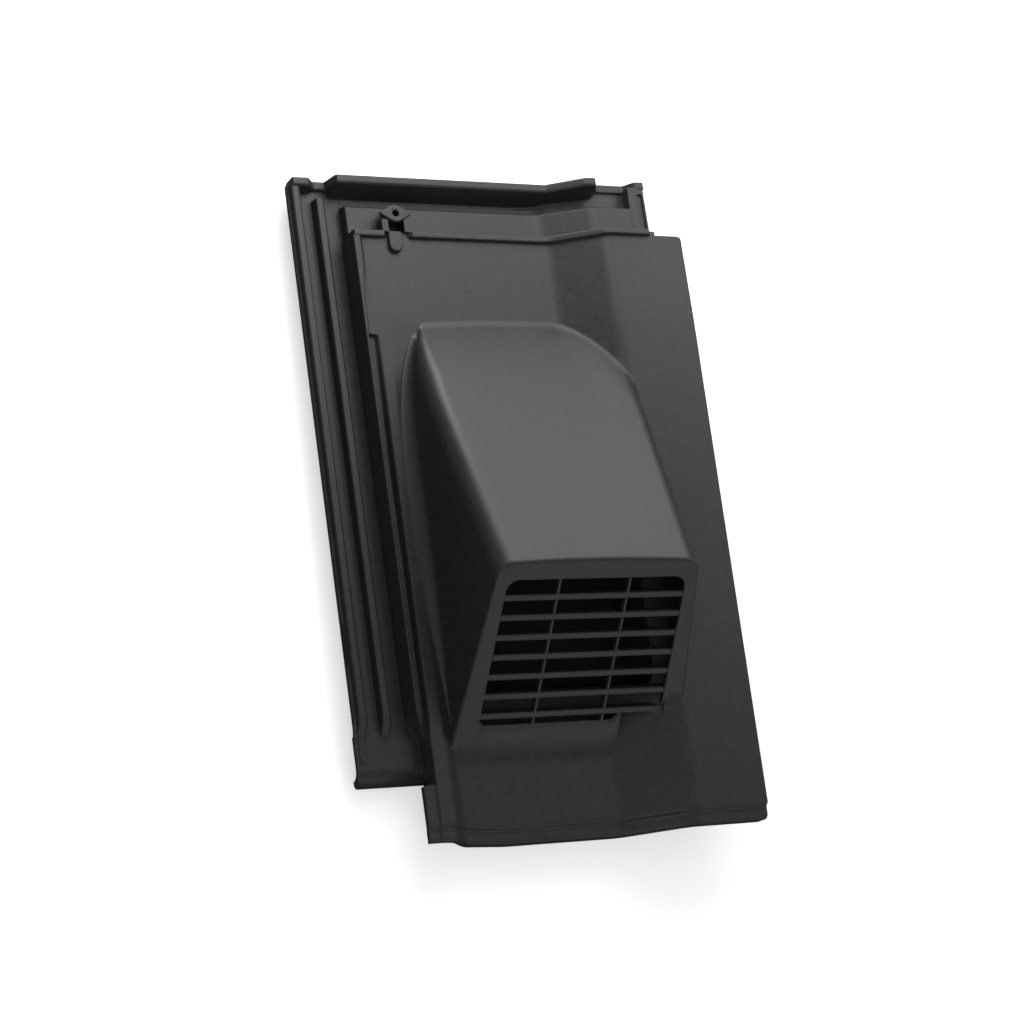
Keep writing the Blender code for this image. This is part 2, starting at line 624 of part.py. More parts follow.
def head_side_rib():
    right = HEAD_RIGHT_X - 0.0003
    left = right - HEAD_RIB_WIDTH

    def loop(y, low):
        shape = [(left - 0.0040, low), (left - 0.0035, ledge_z(left) + 0.0006), (left - 0.0008, HEAD_RIGHT_Z - 0.0024),
                 (left + 0.0004, HEAD_RIGHT_Z - 0.0004), (right - 0.0006, HEAD_RIGHT_Z - 0.0004),
                 (right, HEAD_RIGHT_Z - 0.0010), (right, low)]
        return [(x, y, z) for x, z in shape]

    high = ledge_z(HEAD_RIGHT_X) - SKIN + EMBED
    low = channel_z(HEAD_RIGHT_X) - SKIN + EMBED
    near = LEDGE_END_Y - SKIN
    return loft("head_side_rib", [loop(RIDGE_Y + RIDGE_WIDTH - 0.0010, high), loop(near + 0.0012, high),
                                  loop(near + 0.0016, low), loop(HEAD_Y - HEAD_WALL + 0.0015, low)])


def boss_outline(grow):
    """Lozenge head with two wings."""
    points = []
    steps = 28
    for i in range(steps):
        angle = 2.0 * math.pi * i / steps
        wing = 0.5 * BOSS_LENGTH * (0.80 + 0.20 * abs(math.cos(angle)) ** 3)
        x = wing * math.cos(angle) * grow
        y = 0.5 * BOSS_WIDTH * math.sin(angle) * grow
        points.append((BOSS_X + x, BOSS_Y + y))
    return points


def add_boss(body):
    top = BOSS_TOP_Z
    low = ledge_z(BOSS_X) - EMBED
    edge = 0.0005
    loops = [[(x, y, z) for x, y in boss_outline(g)] for g, z in ((0.94, top - BOSS_PLATE), (1.0, top - BOSS_PLATE + edge),
             (1.0, top - edge), (0.95, top))]
    combine(body, loft("boss_head", loops), "UNION")
    half = BOSS_STEM * 0.5
    combine(body, block("boss_stem", BOSS_X - half, BOSS_X + half, BOSS_Y - half * 0.75, BOSS_Y + half * 0.85,
                        low, top - BOSS_PLATE + EMBED), "UNION")
    for x in (BOSS_X - half - BOSS_POST, BOSS_X + half):
        combine(body, block("boss_post", x, x + BOSS_POST, RIDGE_Y + RIDGE_WIDTH - 0.0006, BOSS_Y - 0.0040,
                            low, top - BOSS_PLATE * 0.5), "UNION")
    half = TONGUE_WIDTH * 0.5
    shape = []
    for i in range(9):
        angle = math.pi * i / 8
        shape.append((TONGUE_X + half * math.cos(angle), TONGUE_END_Y + half - half * math.sin(angle)))
    back = RIDGE_Y + RIDGE_WIDTH - 0.0010
    shape += [(TONGUE_X - half, back), (TONGUE_X + half, back)]
    combine(body, prism("tongue", shape, PAN_Z - SKIN * 0.5, 0.0004), "UNION")
    hole = []
    for i in range(16):
        angle = 2.0 * math.pi * i / 16
        hole.append((BOSS_X + BOSS_HOLE * 0.5 * math.cos(angle), BOSS_Y + BOSS_HOLE * 0.5 * math.sin(angle)))
    combine(body, prism("boss_hole", hole, LAP_PLATE_Z - FAR, top + EMBED), "DIFFERENCE")


def flank_flare(y):
    """The left flank's flare is widest halfway along the hood and dies out at both ends."""
    front = FACE_Y - 0.0040
    share = min(max((y - front) / (HOOD_BACK_Y - front), 0.0), 1.0)
    return HOOD_FILLET * max(math.sin(math.pi * share), 0.0) ** (1.4 if share < 0.5 else 0.5)


def right_flare(y):
    start = FACE_Y + (PAN_Z + ROLL_RISE) * FACE_LEAN - 0.0060
    return HOOD_FILLET_RIGHT * ease(start, start + 0.0380, y)


def rear_pull(y):
    """The left flank turns in towards the rear of the hood."""
    share = min(max(1.0 - (HOOD_BACK_Y - y) / HOOD_CORNER_RUN, 0.0), 1.02)
    return HOOD_CORNER * share ** 5


def blend(z, x, y):
    """Let the rear edge run out into the cover instead of meeting it at a sharp line."""
    cover = cover_z(x, y) - 0.0003
    if z < cover - 0.5 * HOOD_BLEND:
        return min(z, cover - 0.0012)
    near = max(HOOD_BLEND - abs(z - cover), 0.0) / HOOD_BLEND
    return max(z, cover) + near * near * HOOD_BLEND * 0.25


def hood_loop(y, inset, low, steps):
    """One cross section of the hood; the inset gives its inside."""
    top = hood_top(y) - inset
    radius = max(HOOD_ROUND - inset, 0.002)
    shoulder = top - radius
    tight = min(max(0.45 * (top + inset - PAN_Z) + 0.0020, 0.0025), HOOD_ROUND)
    tight = max(tight - inset, 0.0020)
    bend = top - tight
    corner = rear_pull(y)

    def left(z):
        return HOOD_LEFT_X + HOOD_LEFT_DRAFT * z + inset + corner

    def right(z):
        return HOOD_RIGHT_X - HOOD_RIGHT_DRAFT * z - inset

    x0, x1 = left(bend), right(shoulder)
    middle, half = 0.5 * (x0 + x1), 0.5 * (x1 - x0)
    flare = flank_flare(y) if inset == 0.0 else 0.0
    flare_right = right_flare(y) if inset == 0.0 else 0.0
    pan = cover_z(BORDER_FLAT_X, y)
    roll = cover_z(HOOD_RIGHT_X, y)

    def crown(x):
        return HOOD_CROWN * ((x - middle) / half) ** 2

    def side(base, width, edge, way, limit):
        """Points from the foot of one flank up to where its fillet ends."""
        points = [(edge(low) + way * width, low)]
        for index, (out, up) in enumerate(((1.0, 0.02), (0.50, 0.14), (0.20, 0.38), (0.0, 1.0))):
            z = min(base + up * max(width, 0.002), limit - 0.0002 * (4 - index))
            points.append((edge(z) + way * width * out, z))
        return points

    upper = []
    for i in range(1, steps + 1):
        angle = math.radians(90.0 * i / steps)
        x = x0 + tight * (1.0 - math.cos(angle))
        upper.append((x, bend + tight * math.sin(angle) - crown(x)))
    for share in (0.25, 0.5, 0.75):
        x = x0 + tight + (x1 - x0 - radius - tight) * share
        upper.append((x, top - crown(x)))
    for i in range(steps, 0, -1):
        angle = math.radians(90.0 * i / steps)
        x = x1 - radius * (1.0 - math.cos(angle))
        upper.append((x, shoulder + radius * math.sin(angle) - crown(x)))
    if inset == 0.0:
        upper = [(x, blend(z, x, y)) for x, z in upper]
    points = side(pan, flare, left, -1.0, bend) + [(x0, bend)] + upper
    points += [(x1, shoulder)] + list(reversed(side(roll, flare_right, right, 1.0, shoulder)))
    return [(x, y, z) for x, z in points]


def hood_block(name, inset, low, steps):
    """The hood as a solid, cut off by the louvre face plane."""
    back = HOOD_BACK_Y + HOOD_BLEND - inset
    front = FACE_Y - 0.060
    bends = [HOOD_BACK_Y - d for d in (0.0340, 0.0240, 0.0160, 0.0100, 0.0055, 0.0025, 0.0, -0.0025)]
    stations = spread([front, FACE_Y + HOOD_TOP_Z * FACE_LEAN + 0.004, HOOD_BACK_Y - 0.0460], 0.027)
    stations += [b for b in bends if b < back - 0.0005] + [back]
    item = loft(name, [hood_loop(y, inset, low, steps) for y in stations])
    angle = math.radians(FACE_ANGLE)
    normal = Vector((0.0, -math.cos(angle), math.sin(angle)))
    point = Vector((0.0, FACE_Y, 0.0)) - normal * inset
    body = bmesh.new()
    body.from_mesh(item.data)
    cut = bmesh.ops.bisect_plane(body, geom=body.verts[:] + body.edges[:] + body.faces[:], dist=1e-7,
                                 plane_co=point, plane_no=normal, clear_outer=True)
    edges = [e for e in cut["geom_cut"] if isinstance(e, bmesh.types.BMEdge)]
    bmesh.ops.contextual_create(body, geom=edges)
    bmesh.ops.recalc_face_normals(body, faces=body.faces)
    body.to_mesh(item.data)
    body.free()
    return item


def face_point(x, up, depth):
    """A point on the louvre face: across, up the face from the pan, and into the hood."""
    angle = math.radians(FACE_ANGLE)
    foot = PAN_Z - fall(FACE_Y - 0.012)
    z = foot + up * math.cos(angle)
    y = FACE_Y + foot * FACE_LEAN + up * math.sin(angle)
    return (x, y + depth * math.cos(angle), z - depth * math.sin(angle))


def face_bar(name, x0, x1, up0, up1, depth0, depth1):
    loops = [[face_point(x, up, depth) for up, depth in ((up0, depth0), (up1, depth0), (up1, depth1), (up0, depth1))]
             for x in (x0, x1)]
    return loft(name, loops)


def cut_opening(hood):
    """The louvre opening: straight sides, two rounded upper corners, open to the sill below."""
    shape = []
    steps = 6
    left, right, taper, radius = OPENING_LEFT_X, OPENING_RIGHT_X, OPENING_TAPER, OPENING_ROUND
    for cx, start in ((right - taper - radius, 0), (left + taper + radius, 90)):
        for i in range(steps + 1):
            angle = math.radians(start + 90.0 * i / steps)
            shape.append((cx + radius * math.cos(angle), OPENING_TOP - radius + radius * math.sin(angle)))
    shape += [(left, -0.030), (right, -0.030)]
    loops = [[face_point(x, up, depth) for x, up in shape] for depth in (-0.008, SKIN + 0.0025)]
    combine(hood, loft("opening", loops), "DIFFERENCE")


def add_grille(hood):
    edge = 0.0030
    for i in range(SLAT_COUNT):
        up = SLAT_FIRST + SLAT_PITCH * i
        x0 = OPENING_LEFT_X + OPENING_TAPER * up / OPENING_TOP - edge
        x1 = OPENING_RIGHT_X - OPENING_TAPER * up / OPENING_TOP + edge
        combine(hood, face_bar("slat", x0, x1, up, up + SLAT_THICK, SLAT_RECESS, SLAT_DEPTH), "UNION")
    for x in WEB_X:
        combine(hood, face_bar("web", x - WEB_THICK * 0.5, x + WEB_THICK * 0.5, 0.004, OPENING_TOP + edge,
                               SLAT_RECESS + 0.0004, SLAT_DEPTH - 0.0006), "UNION")


def face_foot(x):
    """Where the louvre face meets the cover."""
    y = FACE_Y
    for _ in range(6):
        y = FACE_Y + cover_z(x, y) * FACE_LEAN
    return y, cover_z(x, y)


def leg_foot(positions, outer):
    """The concave foot in front of one leg of the louvre frame; it runs out at the outer end."""
    def section(x):
        share = 0.2 + 0.8 * ease(0.0, 0.0080, abs(x - outer))
        height, reach = LEG_FOOT_HEIGHT * share, LEG_FOOT_REACH * share
        y, z = face_foot(x)
        start = (y - reach, cover_z(x, y - reach) - 0.0002)
        end = (y + height * FACE_LEAN + 0.0002, z + height)
        points = []
        for t in (0.0, 0.25, 0.5, 0.75, 1.0):
            a, b, c = (1.0 - t) ** 2, 2.0 * t * (1.0 - t), t * t
            points.append((a * start[0] + b * y + c * end[0], a * start[1] + b * z + c * end[1]))
        return points + [(end[0] + 0.0009, end[1] - 0.0011), (y + 0.0006, z - 0.0011), (start[0], start[1] - 0.0008)]
    return section_run("leg_foot", positions, section)


def sill_base(x):
    return cover_z(x, FACE_Y + SILL_TOP_Z * FACE_LEAN - SILL_RUN) - 0.0004


def sill_top(x):
    """The sill's edge turns up at both ends of the opening."""
    near = min(x - OPENING_LEFT_X + 0.0010, SILL_END_X - x)
    return SILL_TOP_Z + SILL_END_RISE * (1.0 - ease(0.0, SILL_END_RUN, near))


def sill():
    """The concave upstand that closes the foot of the grille against driven rain."""
    x0 = OPENING_LEFT_X - 0.0020
    low = sill_base(SLOPE_X) - 0.0080
    run = SILL_END_RUN
    stops = [x0, x0 + run * 0.4, x0 + run * 0.7, x0 + run * 1.1, x0 + run * 1.6]
    stops += [SILL_END_X - run * 1.2, SILL_END_X - run * 0.7, SILL_END_X - run * 0.35, SILL_END_X]

    def section(x):
        base = sill_base(x)
        rise = sill_top(x) - base
        top_y = FACE_Y + sill_top(x) * FACE_LEAN - 0.0004
        front = FACE_Y + SILL_TOP_Z * FACE_LEAN - SILL_RUN
        points = [(front, low - 0.0020)]
        for share in (0.0, 0.25, 0.5, 0.7, 0.86, 1.0):
            points.append((front + (top_y - front) * share, base + rise * share ** 2.2))
        points += [(top_y + SILL_WALL, base + rise), (top_y + SILL_WALL + 0.0010, low - 0.0020)]
        return points
    return section_run("sill", stops, section)


def sill_core():
    """The space under the sill ramp, open from below."""
    x0 = OPENING_LEFT_X + SKIN
    x1 = SILL_END_X - SKIN
    top_y = FACE_Y + SILL_TOP_Z * FACE_LEAN - 0.0004

    def section(x):
        base = sill_base(x)
        rise = SILL_TOP_Z - base
        points = [(top_y - SILL_RUN * 0.42, -FAR)]
        for share in (0.58, 0.70, 0.85, 0.985):
            points.append((top_y - SILL_RUN * (1.0 - share), base + rise * share ** 2.2 - SKIN * 1.15))
        points.append((top_y - SILL_RUN * 0.015, -FAR))
        return points
    return section_run("sill_core", [x0, x1], section)


def space_above():
    """Everything above the middle of the cover wall."""
    loops = []
    for y in spread([LIP_BEAD_Y + 0.0200, RIM_END_Y, FALL_START_Y, COVER_END_Y - 0.0050], 0.15):
        samples = [BORDER_X + 0.002] + cover_samples(y) + [RIGHT_X - 0.005]
        low = [(x, cover_z(x, y) - SKIN * 0.5) for x in samples]
        high = [(RIGHT_X - 0.005, FAR), (BORDER_X + 0.002, FAR)]
        loops.append([(x, y, z) for x, z in low + high])
    return loft("space_above", loops)


def duct_tool(name):
    """The air path down through the tile, bounded by the hood's inside."""
    inside = hood_block(name, SKIN, REST_Z - 0.02, 4)
    outline = rounded_box(DUCT_LEFT_X, DUCT_RIGHT_X, DUCT_FRONT_Y, DUCT_BACK_Y, DUCT_ROUND, 4)
    return combine(inside, prism("duct_outline", outline, REST_Z - 0.01, FAR), "INTERSECT")


def collar():
    """The ring below the duct, which also carries the tile at rest."""
    wall = COLLAR_WALL
    outline = rounded_box(DUCT_LEFT_X - wall, DUCT_RIGHT_X + wall, DUCT_FRONT_Y - wall, DUCT_BACK_Y + wall,
                          DUCT_ROUND + wall, 4)
    ring = prism("collar", outline, REST_Z, FAR)
    loops = []
    for y in spread([LIP_BEAD_Y + 0.0200, RIM_END_Y, FALL_START_Y, COVER_END_Y - 0.0050], 0.15):
        samples = [BORDER_X + 0.002] + cover_samples(y) + [RIGHT_X - 0.005]
        high = [(x, cover_z(x, y) - SKIN * 0.4) for x in samples]
        low = [(RIGHT_X - 0.005, REST_Z - 0.02), (BORDER_X + 0.002, REST_Z - 0.02)]
        loops.append([(x, y, z) for x, z in high + low])
    return combine(ring, loft("space_below", loops), "INTERSECT")


def brace_across(y, x0, x1, depth):
    samples = [s for s in cover_samples(y) if x0 < s < x1]

    def section(x):
        under = cover_z(x, y) - SKIN
        high = under + SKIN * 0.6
        return [(y, under - depth), (y + BRACE_THICK, under - depth), (y + BRACE_THICK, high), (y, high)]
    return section_run("brace", [x0] + samples + [x1], section)


def brace_along(x, y0, y1, depth):
    loops = []
    for y in (y0, min(max(FALL_START_Y, y0), y1), y1):
        under = cover_z(x, y) - SKIN
        loops.append([(x, y, under - depth), (x + BRACE_THICK, y, under - depth),
                      (x + BRACE_THICK, y, under + EMBED), (x, y, under + EMBED)])
    if y1 <= FALL_START_Y or y0 >= FALL_START_Y:
        loops = [loops[0], loops[-1]]
    return loft("brace", loops)


def add_underside(body):
    for x in NIB_X:
        loops = []
        for z, pull in ((REST_Z, 0.0010), (ledge_z(x) - SKIN + EMBED, 0.0)):
            loops.append([(x + pull, NIB_Y, z), (x + NIB_WIDTH - pull, NIB_Y, z),
                          (x + NIB_WIDTH - pull, NIB_Y + NIB_THICK - pull, z), (x + pull, NIB_Y + NIB_THICK - pull, z)])
        combine(body, loft("nib", loops), "UNION")
    roll_under = cover_z(RIGHT_X, SKIRT_FRONT_Y) - EDGE_DROP + 0.003
    skirt_x = RIGHT_X - SKIN + 0.0003
    combine(body, block("skirt", skirt_x, RIGHT_X - 0.0003, SKIRT_FRONT_Y, SKIRT_BACK_Y, SKIRT_BOTTOM_Z,
                        roll_under), "UNION")
    hook_x = RIGHT_X - HOOK_INSET
    combine(body, block("hook", hook_x, hook_x + BRACE_THICK, SKIRT_FRONT_Y, SKIRT_BACK_Y, SKIRT_BOTTOM_Z,
                        cover_z(hook_x, SKIRT_FRONT_Y) - SKIN + 0.0015), "UNION")
    right = RIGHT_X - SKIN + EMBED
    combine(body, brace_across(FOOT_BRACE_Y, BORDER_X + SKIN * 0.6, right, BRACE_DEPTH), "UNION")
    combine(body, brace_across(HEAD_BRACE_Y, RIM_X + SKIN * 0.4, right, BRACE_DEPTH), "UNION")
    for x in BRACE_X:
        combine(body, brace_along(x, FOOT_Y + LIP_RUN, DUCT_FRONT_Y - COLLAR_WALL * 0.5, BRACE_DEPTH * 0.8), "UNION")
        combine(body, brace_along(x, DUCT_BACK_Y + COLLAR_WALL * 0.5, COVER_END_Y - 0.0010, BRACE_DEPTH * 0.8), "UNION")
    for share in SIDE_BRACES:
        y = DUCT_FRONT_Y + (DUCT_BACK_Y - DUCT_FRONT_Y) * share
        combine(body, brace_across(y, DUCT_RIGHT_X + COLLAR_WALL * 0.5, hook_x + EMBED, BRACE_DEPTH), "UNION")


def finish(body):
    """One name, one material, tidy mesh, moved to its standing place."""
    body.name = "vent_tile"
    body.data.name = "vent_tile"
    middle = Vector(((LEFT_X + RIGHT_X) * 0.5, (FOOT_Y - FOOT_BOW + HEAD_Y) * 0.5, REST_Z))
    mesh = bmesh.new()
    mesh.from_mesh(body.data)
    bmesh.ops.translate(mesh, verts=mesh.verts, vec=-middle)
    bmesh.ops.remove_doubles(mesh, verts=mesh.verts, dist=0.00002)
    bmesh.ops.dissolve_degenerate(mesh, edges=mesh.edges, dist=0.00001)
    bmesh.ops.triangulate(mesh, faces=[f for f in mesh.faces if len(f.verts) > 4])
    bmesh.ops.recalc_face_normals(mesh, faces=mesh.faces)
    mesh.to_mesh(body.data)
    mesh.free()
    body.hide_render = False
    body.display_type = "TEXTURED"
    CUTTERS.objects.unlink(body)
    PARTS.objects.link(body)
    plastic = bpy.data.materials.new("black_polypropylene")
    plastic.use_nodes = True
    shader = plastic.node_tree.nodes["Principled BSDF"]
    shader.inputs["Base Color"].default_value = (0.022, 0.022, 0.023, 1.0)
    shader.inputs["Roughness"].default_value = 0.55
    body.data.materials.clear()
    body.data.materials.append(plastic)


def build():
    clear_scene()
    body = cover_plate()
    combine(body, side_lap(), "UNION")
    combine(body, head_plate(), "UNION")
    combine(body, head_wall(), "UNION")
    combine(body, ridge(), "UNION")
    combine(body, head_side_rib(), "UNION")
    add_boss(body)
    combine(body, collar(), "UNION")
    combine(body, duct_tool("duct"), "DIFFERENCE")
    hood = hood_block("hood", 0.0, -0.0260, 6)
    combine(hood, hood_block("hood_inside", SKIN, -0.0300, 6), "DIFFERENCE")
    cut_opening(hood)
    add_grille(hood)
    combine(hood, sill(), "UNION")
    left, right = HOOD_LEFT_X - 0.0010, HOOD_RIGHT_X - 0.0030
    combine(hood, leg_foot(spread([left, OPENING_LEFT_X - 0.0003], 0.0040), left), "UNION")
    combine(hood, leg_foot(spread([OPENING_RIGHT_X + 0.0003, right], 0.0040), right), "UNION")
    combine(hood, space_above(), "INTERSECT")
    combine(body, hood, "UNION")
    combine(body, sill_core(), "DIFFERENCE")
    add_underside(body)
    finish(body)


build()
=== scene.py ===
"""Roof vent tile: one black moulding with fine sections, soft edges and fillets.

Tile axes while it is built: +X across the roof, +Y up the slope, +Z away from the roof, zero height on the
top of the weather rim. The finished mesh is moved into the frame at the end.
"""
import math

import bmesh
import bpy
from mathutils import Matrix, Vector


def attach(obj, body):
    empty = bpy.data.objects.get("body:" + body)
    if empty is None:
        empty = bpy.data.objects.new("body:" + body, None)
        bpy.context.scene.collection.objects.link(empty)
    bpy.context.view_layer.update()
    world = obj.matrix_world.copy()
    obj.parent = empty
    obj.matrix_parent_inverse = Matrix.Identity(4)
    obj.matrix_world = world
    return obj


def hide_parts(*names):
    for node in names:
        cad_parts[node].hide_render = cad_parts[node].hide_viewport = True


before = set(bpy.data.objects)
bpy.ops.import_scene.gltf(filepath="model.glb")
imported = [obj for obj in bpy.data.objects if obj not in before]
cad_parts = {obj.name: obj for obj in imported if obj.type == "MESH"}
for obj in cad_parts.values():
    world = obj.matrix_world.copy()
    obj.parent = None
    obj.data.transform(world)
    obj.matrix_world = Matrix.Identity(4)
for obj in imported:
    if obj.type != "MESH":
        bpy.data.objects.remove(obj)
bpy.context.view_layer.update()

# Overall sizes, metres
LEFT_X = -0.0456
RIGHT_X = 0.2482
FOOT_Y = -0.0087
HEAD_Y = 0.4665
REST_Z = -0.0340
SKIN = 0.0030
EMBED = 0.0008               # how far a body reaches into the one that carries it
FAR = 0.1200                 # outside every wall of the tile

# Cover surface: pan, slope and roll
PAN_Z = -0.0030
ROLL_RISE = 0.0230
CORNER_ROUND = 0.0045
SLOPE_X = 0.1465
SLOPE_RUN = 0.0380
SLOPE_ROUND = 0.16           # rounding of both ends, as a share of the run
SLOPE_GROW_LEFT = 0.0030     # the slope is wider at the foot than at the head by these two
SLOPE_GROW_RIGHT = 0.0050
COVER_END_Y = HEAD_Y - 0.0460
FALL_START_Y = HEAD_Y - 0.1095
FOOT_FALL = 0.0080
BORDER_FLAT_X = 0.0100
BORDER_FOOT_X = 0.0270
BORDER_RUN = 0.0060
PAN_MARGIN_X = RIGHT_X - 0.0100
FOOT_BOW = 0.0036
FOOT_BOW_REACH = 0.0600
EDGE_ROUND = 0.0045
EDGE_DROP = 0.0120

# Weather rim, groove and side bead
RIM_X = -0.0063
RIM_WIDTH = 0.0017
GROOVE_DEPTH = 0.0090
GROOVE_EDGE_X = 0.0038
GROOVE_RUN = 0.0900
BORDER_X = 0.0024
GROOVE_END_Y = HEAD_Y - 0.1195
RIM_END_Y = 0.0775
RIM_END_RUN = 0.0160
LIP_STEP = 0.0026
LIP_RUN = 0.0140
SIDE_STEP = 0.0014
LIP_DEPTH = 0.0120
SIDE_DEPTH = 0.0060
BEAD_X = -0.0066
BEAD_END_Y = 0.0290

# Side lap
LAP_FLOOR_Z = -0.0195
LAP_END_Y = 0.0340
LAP_RIB_TOP_Z = -0.0113
LAP_RIB_WIDTH = 0.0054
LAP_RIB_X = (-0.0433, -0.0259)
LAP_RIB_END_Y = 0.0780
LAP_RIB_END_RUN = 0.0115
LAP_STRIP_HEIGHT = 0.0009
LAP_LIP_DROP = 0.0095
LAP_LIP_RUN = 0.0120
LAP_NOTCH_Y = (0.1170, 0.1430)
LAP_NOTCH_DEPTH = 0.0016
LAP_FLANGE_Z = -0.0152
LAP_FLANGE_DROP = 0.0016
LAP_FLANGE_THICK = 0.0020

# Head: ledge, channel, head wall
LEDGE_DROP = 0.0075
LEDGE_DROP_ROLL = 0.0030
LEDGE_END_Y = HEAD_Y - 0.0203
CHANNEL_DROP = 0.0088
HEAD_RIGHT_X = 0.2280
HEAD_WALL = 0.0060
HEAD_WALL_LEAN = 0.35
HEAD_WALL_Z = -0.0020
HEAD_LEFT_Z = -0.0100
HEAD_NOTCH_Z = -0.0170
HEAD_ROLL_Z = 0.0150
HEAD_DRAIN_Z = 0.0020
HEAD_RIGHT_Z = 0.0112
HEAD_RIB_WIDTH = 0.0080
RIDGE_Y = HEAD_Y - 0.0466
RIDGE_WIDTH = 0.0048
RIDGE_HEIGHT = 0.0030
RIDGE_END_X = 0.2215

# Fixing boss and its drain tongue
BOSS_X = 0.0285
BOSS_Y = HEAD_Y - 0.0288
BOSS_LENGTH = 0.0236
BOSS_WIDTH = 0.0145
BOSS_TOP_Z = 0.0003
BOSS_PLATE = 0.0030
BOSS_HOLE = 0.0052
BOSS_STEM = 0.0120
BOSS_POST = 0.0050
TONGUE_WIDTH = 0.0104
TONGUE_X = BOSS_X - 0.0025
TONGUE_END_Y = HEAD_Y - 0.0580
RIDGE_GAP = 0.0160

# Hood
HOOD_LEFT_X = 0.0195
HOOD_RIGHT_X = 0.1945
HOOD_LEFT_DRAFT = 0.134
HOOD_RIGHT_DRAFT = 0.150
HOOD_BACK_Y = HEAD_Y - 0.1090
HOOD_ROUND = 0.0130
HOOD_CROWN = 0.0020
HOOD_TOP_Z = 0.0811
HOOD_START = 0.88
HOOD_CORNER = 0.0190
HOOD_CORNER_RUN = 0.1650
HOOD_FILLET = 0.0090
HOOD_FILLET_RIGHT = 0.0050
HOOD_BLEND = 0.0026
HOOD_REAR_LIFT = 0.0022
HOOD_REAR_LIFT_RUN = 0.0800
LEG_FOOT_HEIGHT = 0.0066
LEG_FOOT_REACH = 0.0118
HOOD_TURN = 0.0460           # the sections lean with the face up to this far from the rear
FACE_ANGLE = 50.0            # lean of the louvre face from the tile's normal, degrees
FACE_Y = 0.0630              # where the face plane crosses height zero
FACE_ROUND = 0.0018

# Louvre grille, measured up the face from the pan
OPENING_TOP = 0.1270
OPENING_LEFT_X = 0.0354
OPENING_RIGHT_X = 0.1771
OPENING_TAPER = 0.0026
OPENING_ROUND = 0.0090
SLAT_COUNT = 7
SLAT_FIRST = 0.0235
SLAT_PITCH = 0.01462
SLAT_THICK = 0.0044
SLAT_DEPTH = 0.0060
SLAT_RECESS = 0.0005
WEB_THICK = 0.0022
WEB_X = (0.0780, 0.1314)
SILL_TOP_Z = 0.0011
SILL_RUN = 0.0270
SILL_WALL = 0.0030
SILL_END_X = 0.1455
SILL_END_RISE = 0.0040
SILL_END_RUN = 0.0080

# Underside
DUCT_LEFT_X = 0.0300
DUCT_RIGHT_X = 0.1750
DUCT_FRONT_Y = 0.0880
DUCT_BACK_Y = HOOD_BACK_Y - 0.0305
DUCT_ROUND = 0.0120
COLLAR_WALL = 0.0030
NIB_X = (0.0330, 0.1120)
NIB_WIDTH = 0.0240
NIB_Y = HEAD_Y - 0.0325
NIB_THICK = 0.0070
BRACE_DEPTH = 0.0080
BRACE_THICK = 0.0022
SKIRT_BOTTOM_Z = -0.0180
SKIRT_FRONT_Y = 0.0540
SKIRT_BACK_Y = HEAD_Y - 0.0725
FOOT_BRACE_Y = 0.0400
HEAD_BRACE_Y = SKIRT_BACK_Y - 0.0090
BRACE_X = (0.0680, 0.1240)
SIDE_BRACES = (0.22, 0.51, 0.80)
LIP_BEAD_Y = 0.0148
HOOK_INSET = 0.0290

FACE_LEAN = math.tan(math.radians(FACE_ANGLE))
FACE_COS = math.cos(math.radians(FACE_ANGLE))
FACE_SIN = math.sin(math.radians(FACE_ANGLE))
LAP_PLATE_Z = LAP_FLOOR_Z - SKIN

# Look: plastic, floor and world
PLASTIC_DARK = (0.0165, 0.0166, 0.0168, 1.0)
PLASTIC_PALE = (0.0255, 0.0256, 0.0258, 1.0)
PLASTIC_ROUGHNESS = (0.36, 0.49)
PLASTIC_IOR = 1.49
MOTTLE_SCALE = 230.0
GRAIN_SCALE = 950.0
GRAIN_STRENGTH = 0.28
GRAIN_HEIGHT = 0.00012
SOFT_EDGE = 0.0009
WHITE = (1.0, 1.0, 1.0, 1.0)
FLOOR_SEEN = (0.95, 0.95, 0.95, 1.0)
FLOOR_LIT = (0.12, 0.12, 0.12, 1.0)
FLOOR_GLOW = 0.50
FLOOR_REACH = 6.0
# Painted shade: colour of the dark card laid under the duct
DUCT_SHADE_COLOUR = (0.01, 0.01, 0.01, 1.0)
MATT = 0.9
WORLD_LIGHT = 0.27
GAP_TO_FLOOR = 0.0002

# Camera: focal length and image width in pixels, and the tile's origin in the picture
FOCAL = 2670.0
IMAGE = 1024.0
ORIGIN_PIXEL = (441.0, 828.0)
CAMERA_DISTANCE = FOCAL / 1.5 * 290.0 / 293.0 / 1000.0
SENSOR = 36.0

# Lamps: name, place, size and power; all look at one target
LAMP_TARGET = (0.0, 0.03, 0.03)
LAMPS = (("rear_right", (0.72, 1.28, 0.67), 0.8, 4.40),
         ("above", (0.72, 0.40, 1.40), 0.8, 1.28),
         ("front_left", (-0.80, -0.80, 1.15), 0.8, 3.44),
         ("near_left", (-0.10, 0.65, 0.35), 0.3, 2.34),
         ("near_above", (0.10, 0.50, 0.60), 0.3, 1.21),
         ("near_right", (0.45, 0.40, 0.45), 0.3, 0.63),
         ("low_right", (0.55, 0.15, 0.35), 0.3, 0.22),
         ("front_right", (0.73, -1.28, 0.67), 0.8, 1.8))


def ease(start, end, value):
    share = min(max((value - start) / (end - start), 0.0), 1.0)
    return share * share * (3.0 - 2.0 * share)


def ramp(share, rounding):
    """A straight rise from 0 to 1 whose two ends are rounded."""
    if share < -rounding:
        return 0.0
    if share < rounding:
        return (share + rounding) ** 2 / (4.0 * rounding)
    if share < 1.0 - rounding:
        return share
    if share < 1.0 + rounding:
        return 1.0 - (1.0 + rounding - share) ** 2 / (4.0 * rounding)
    return 1.0


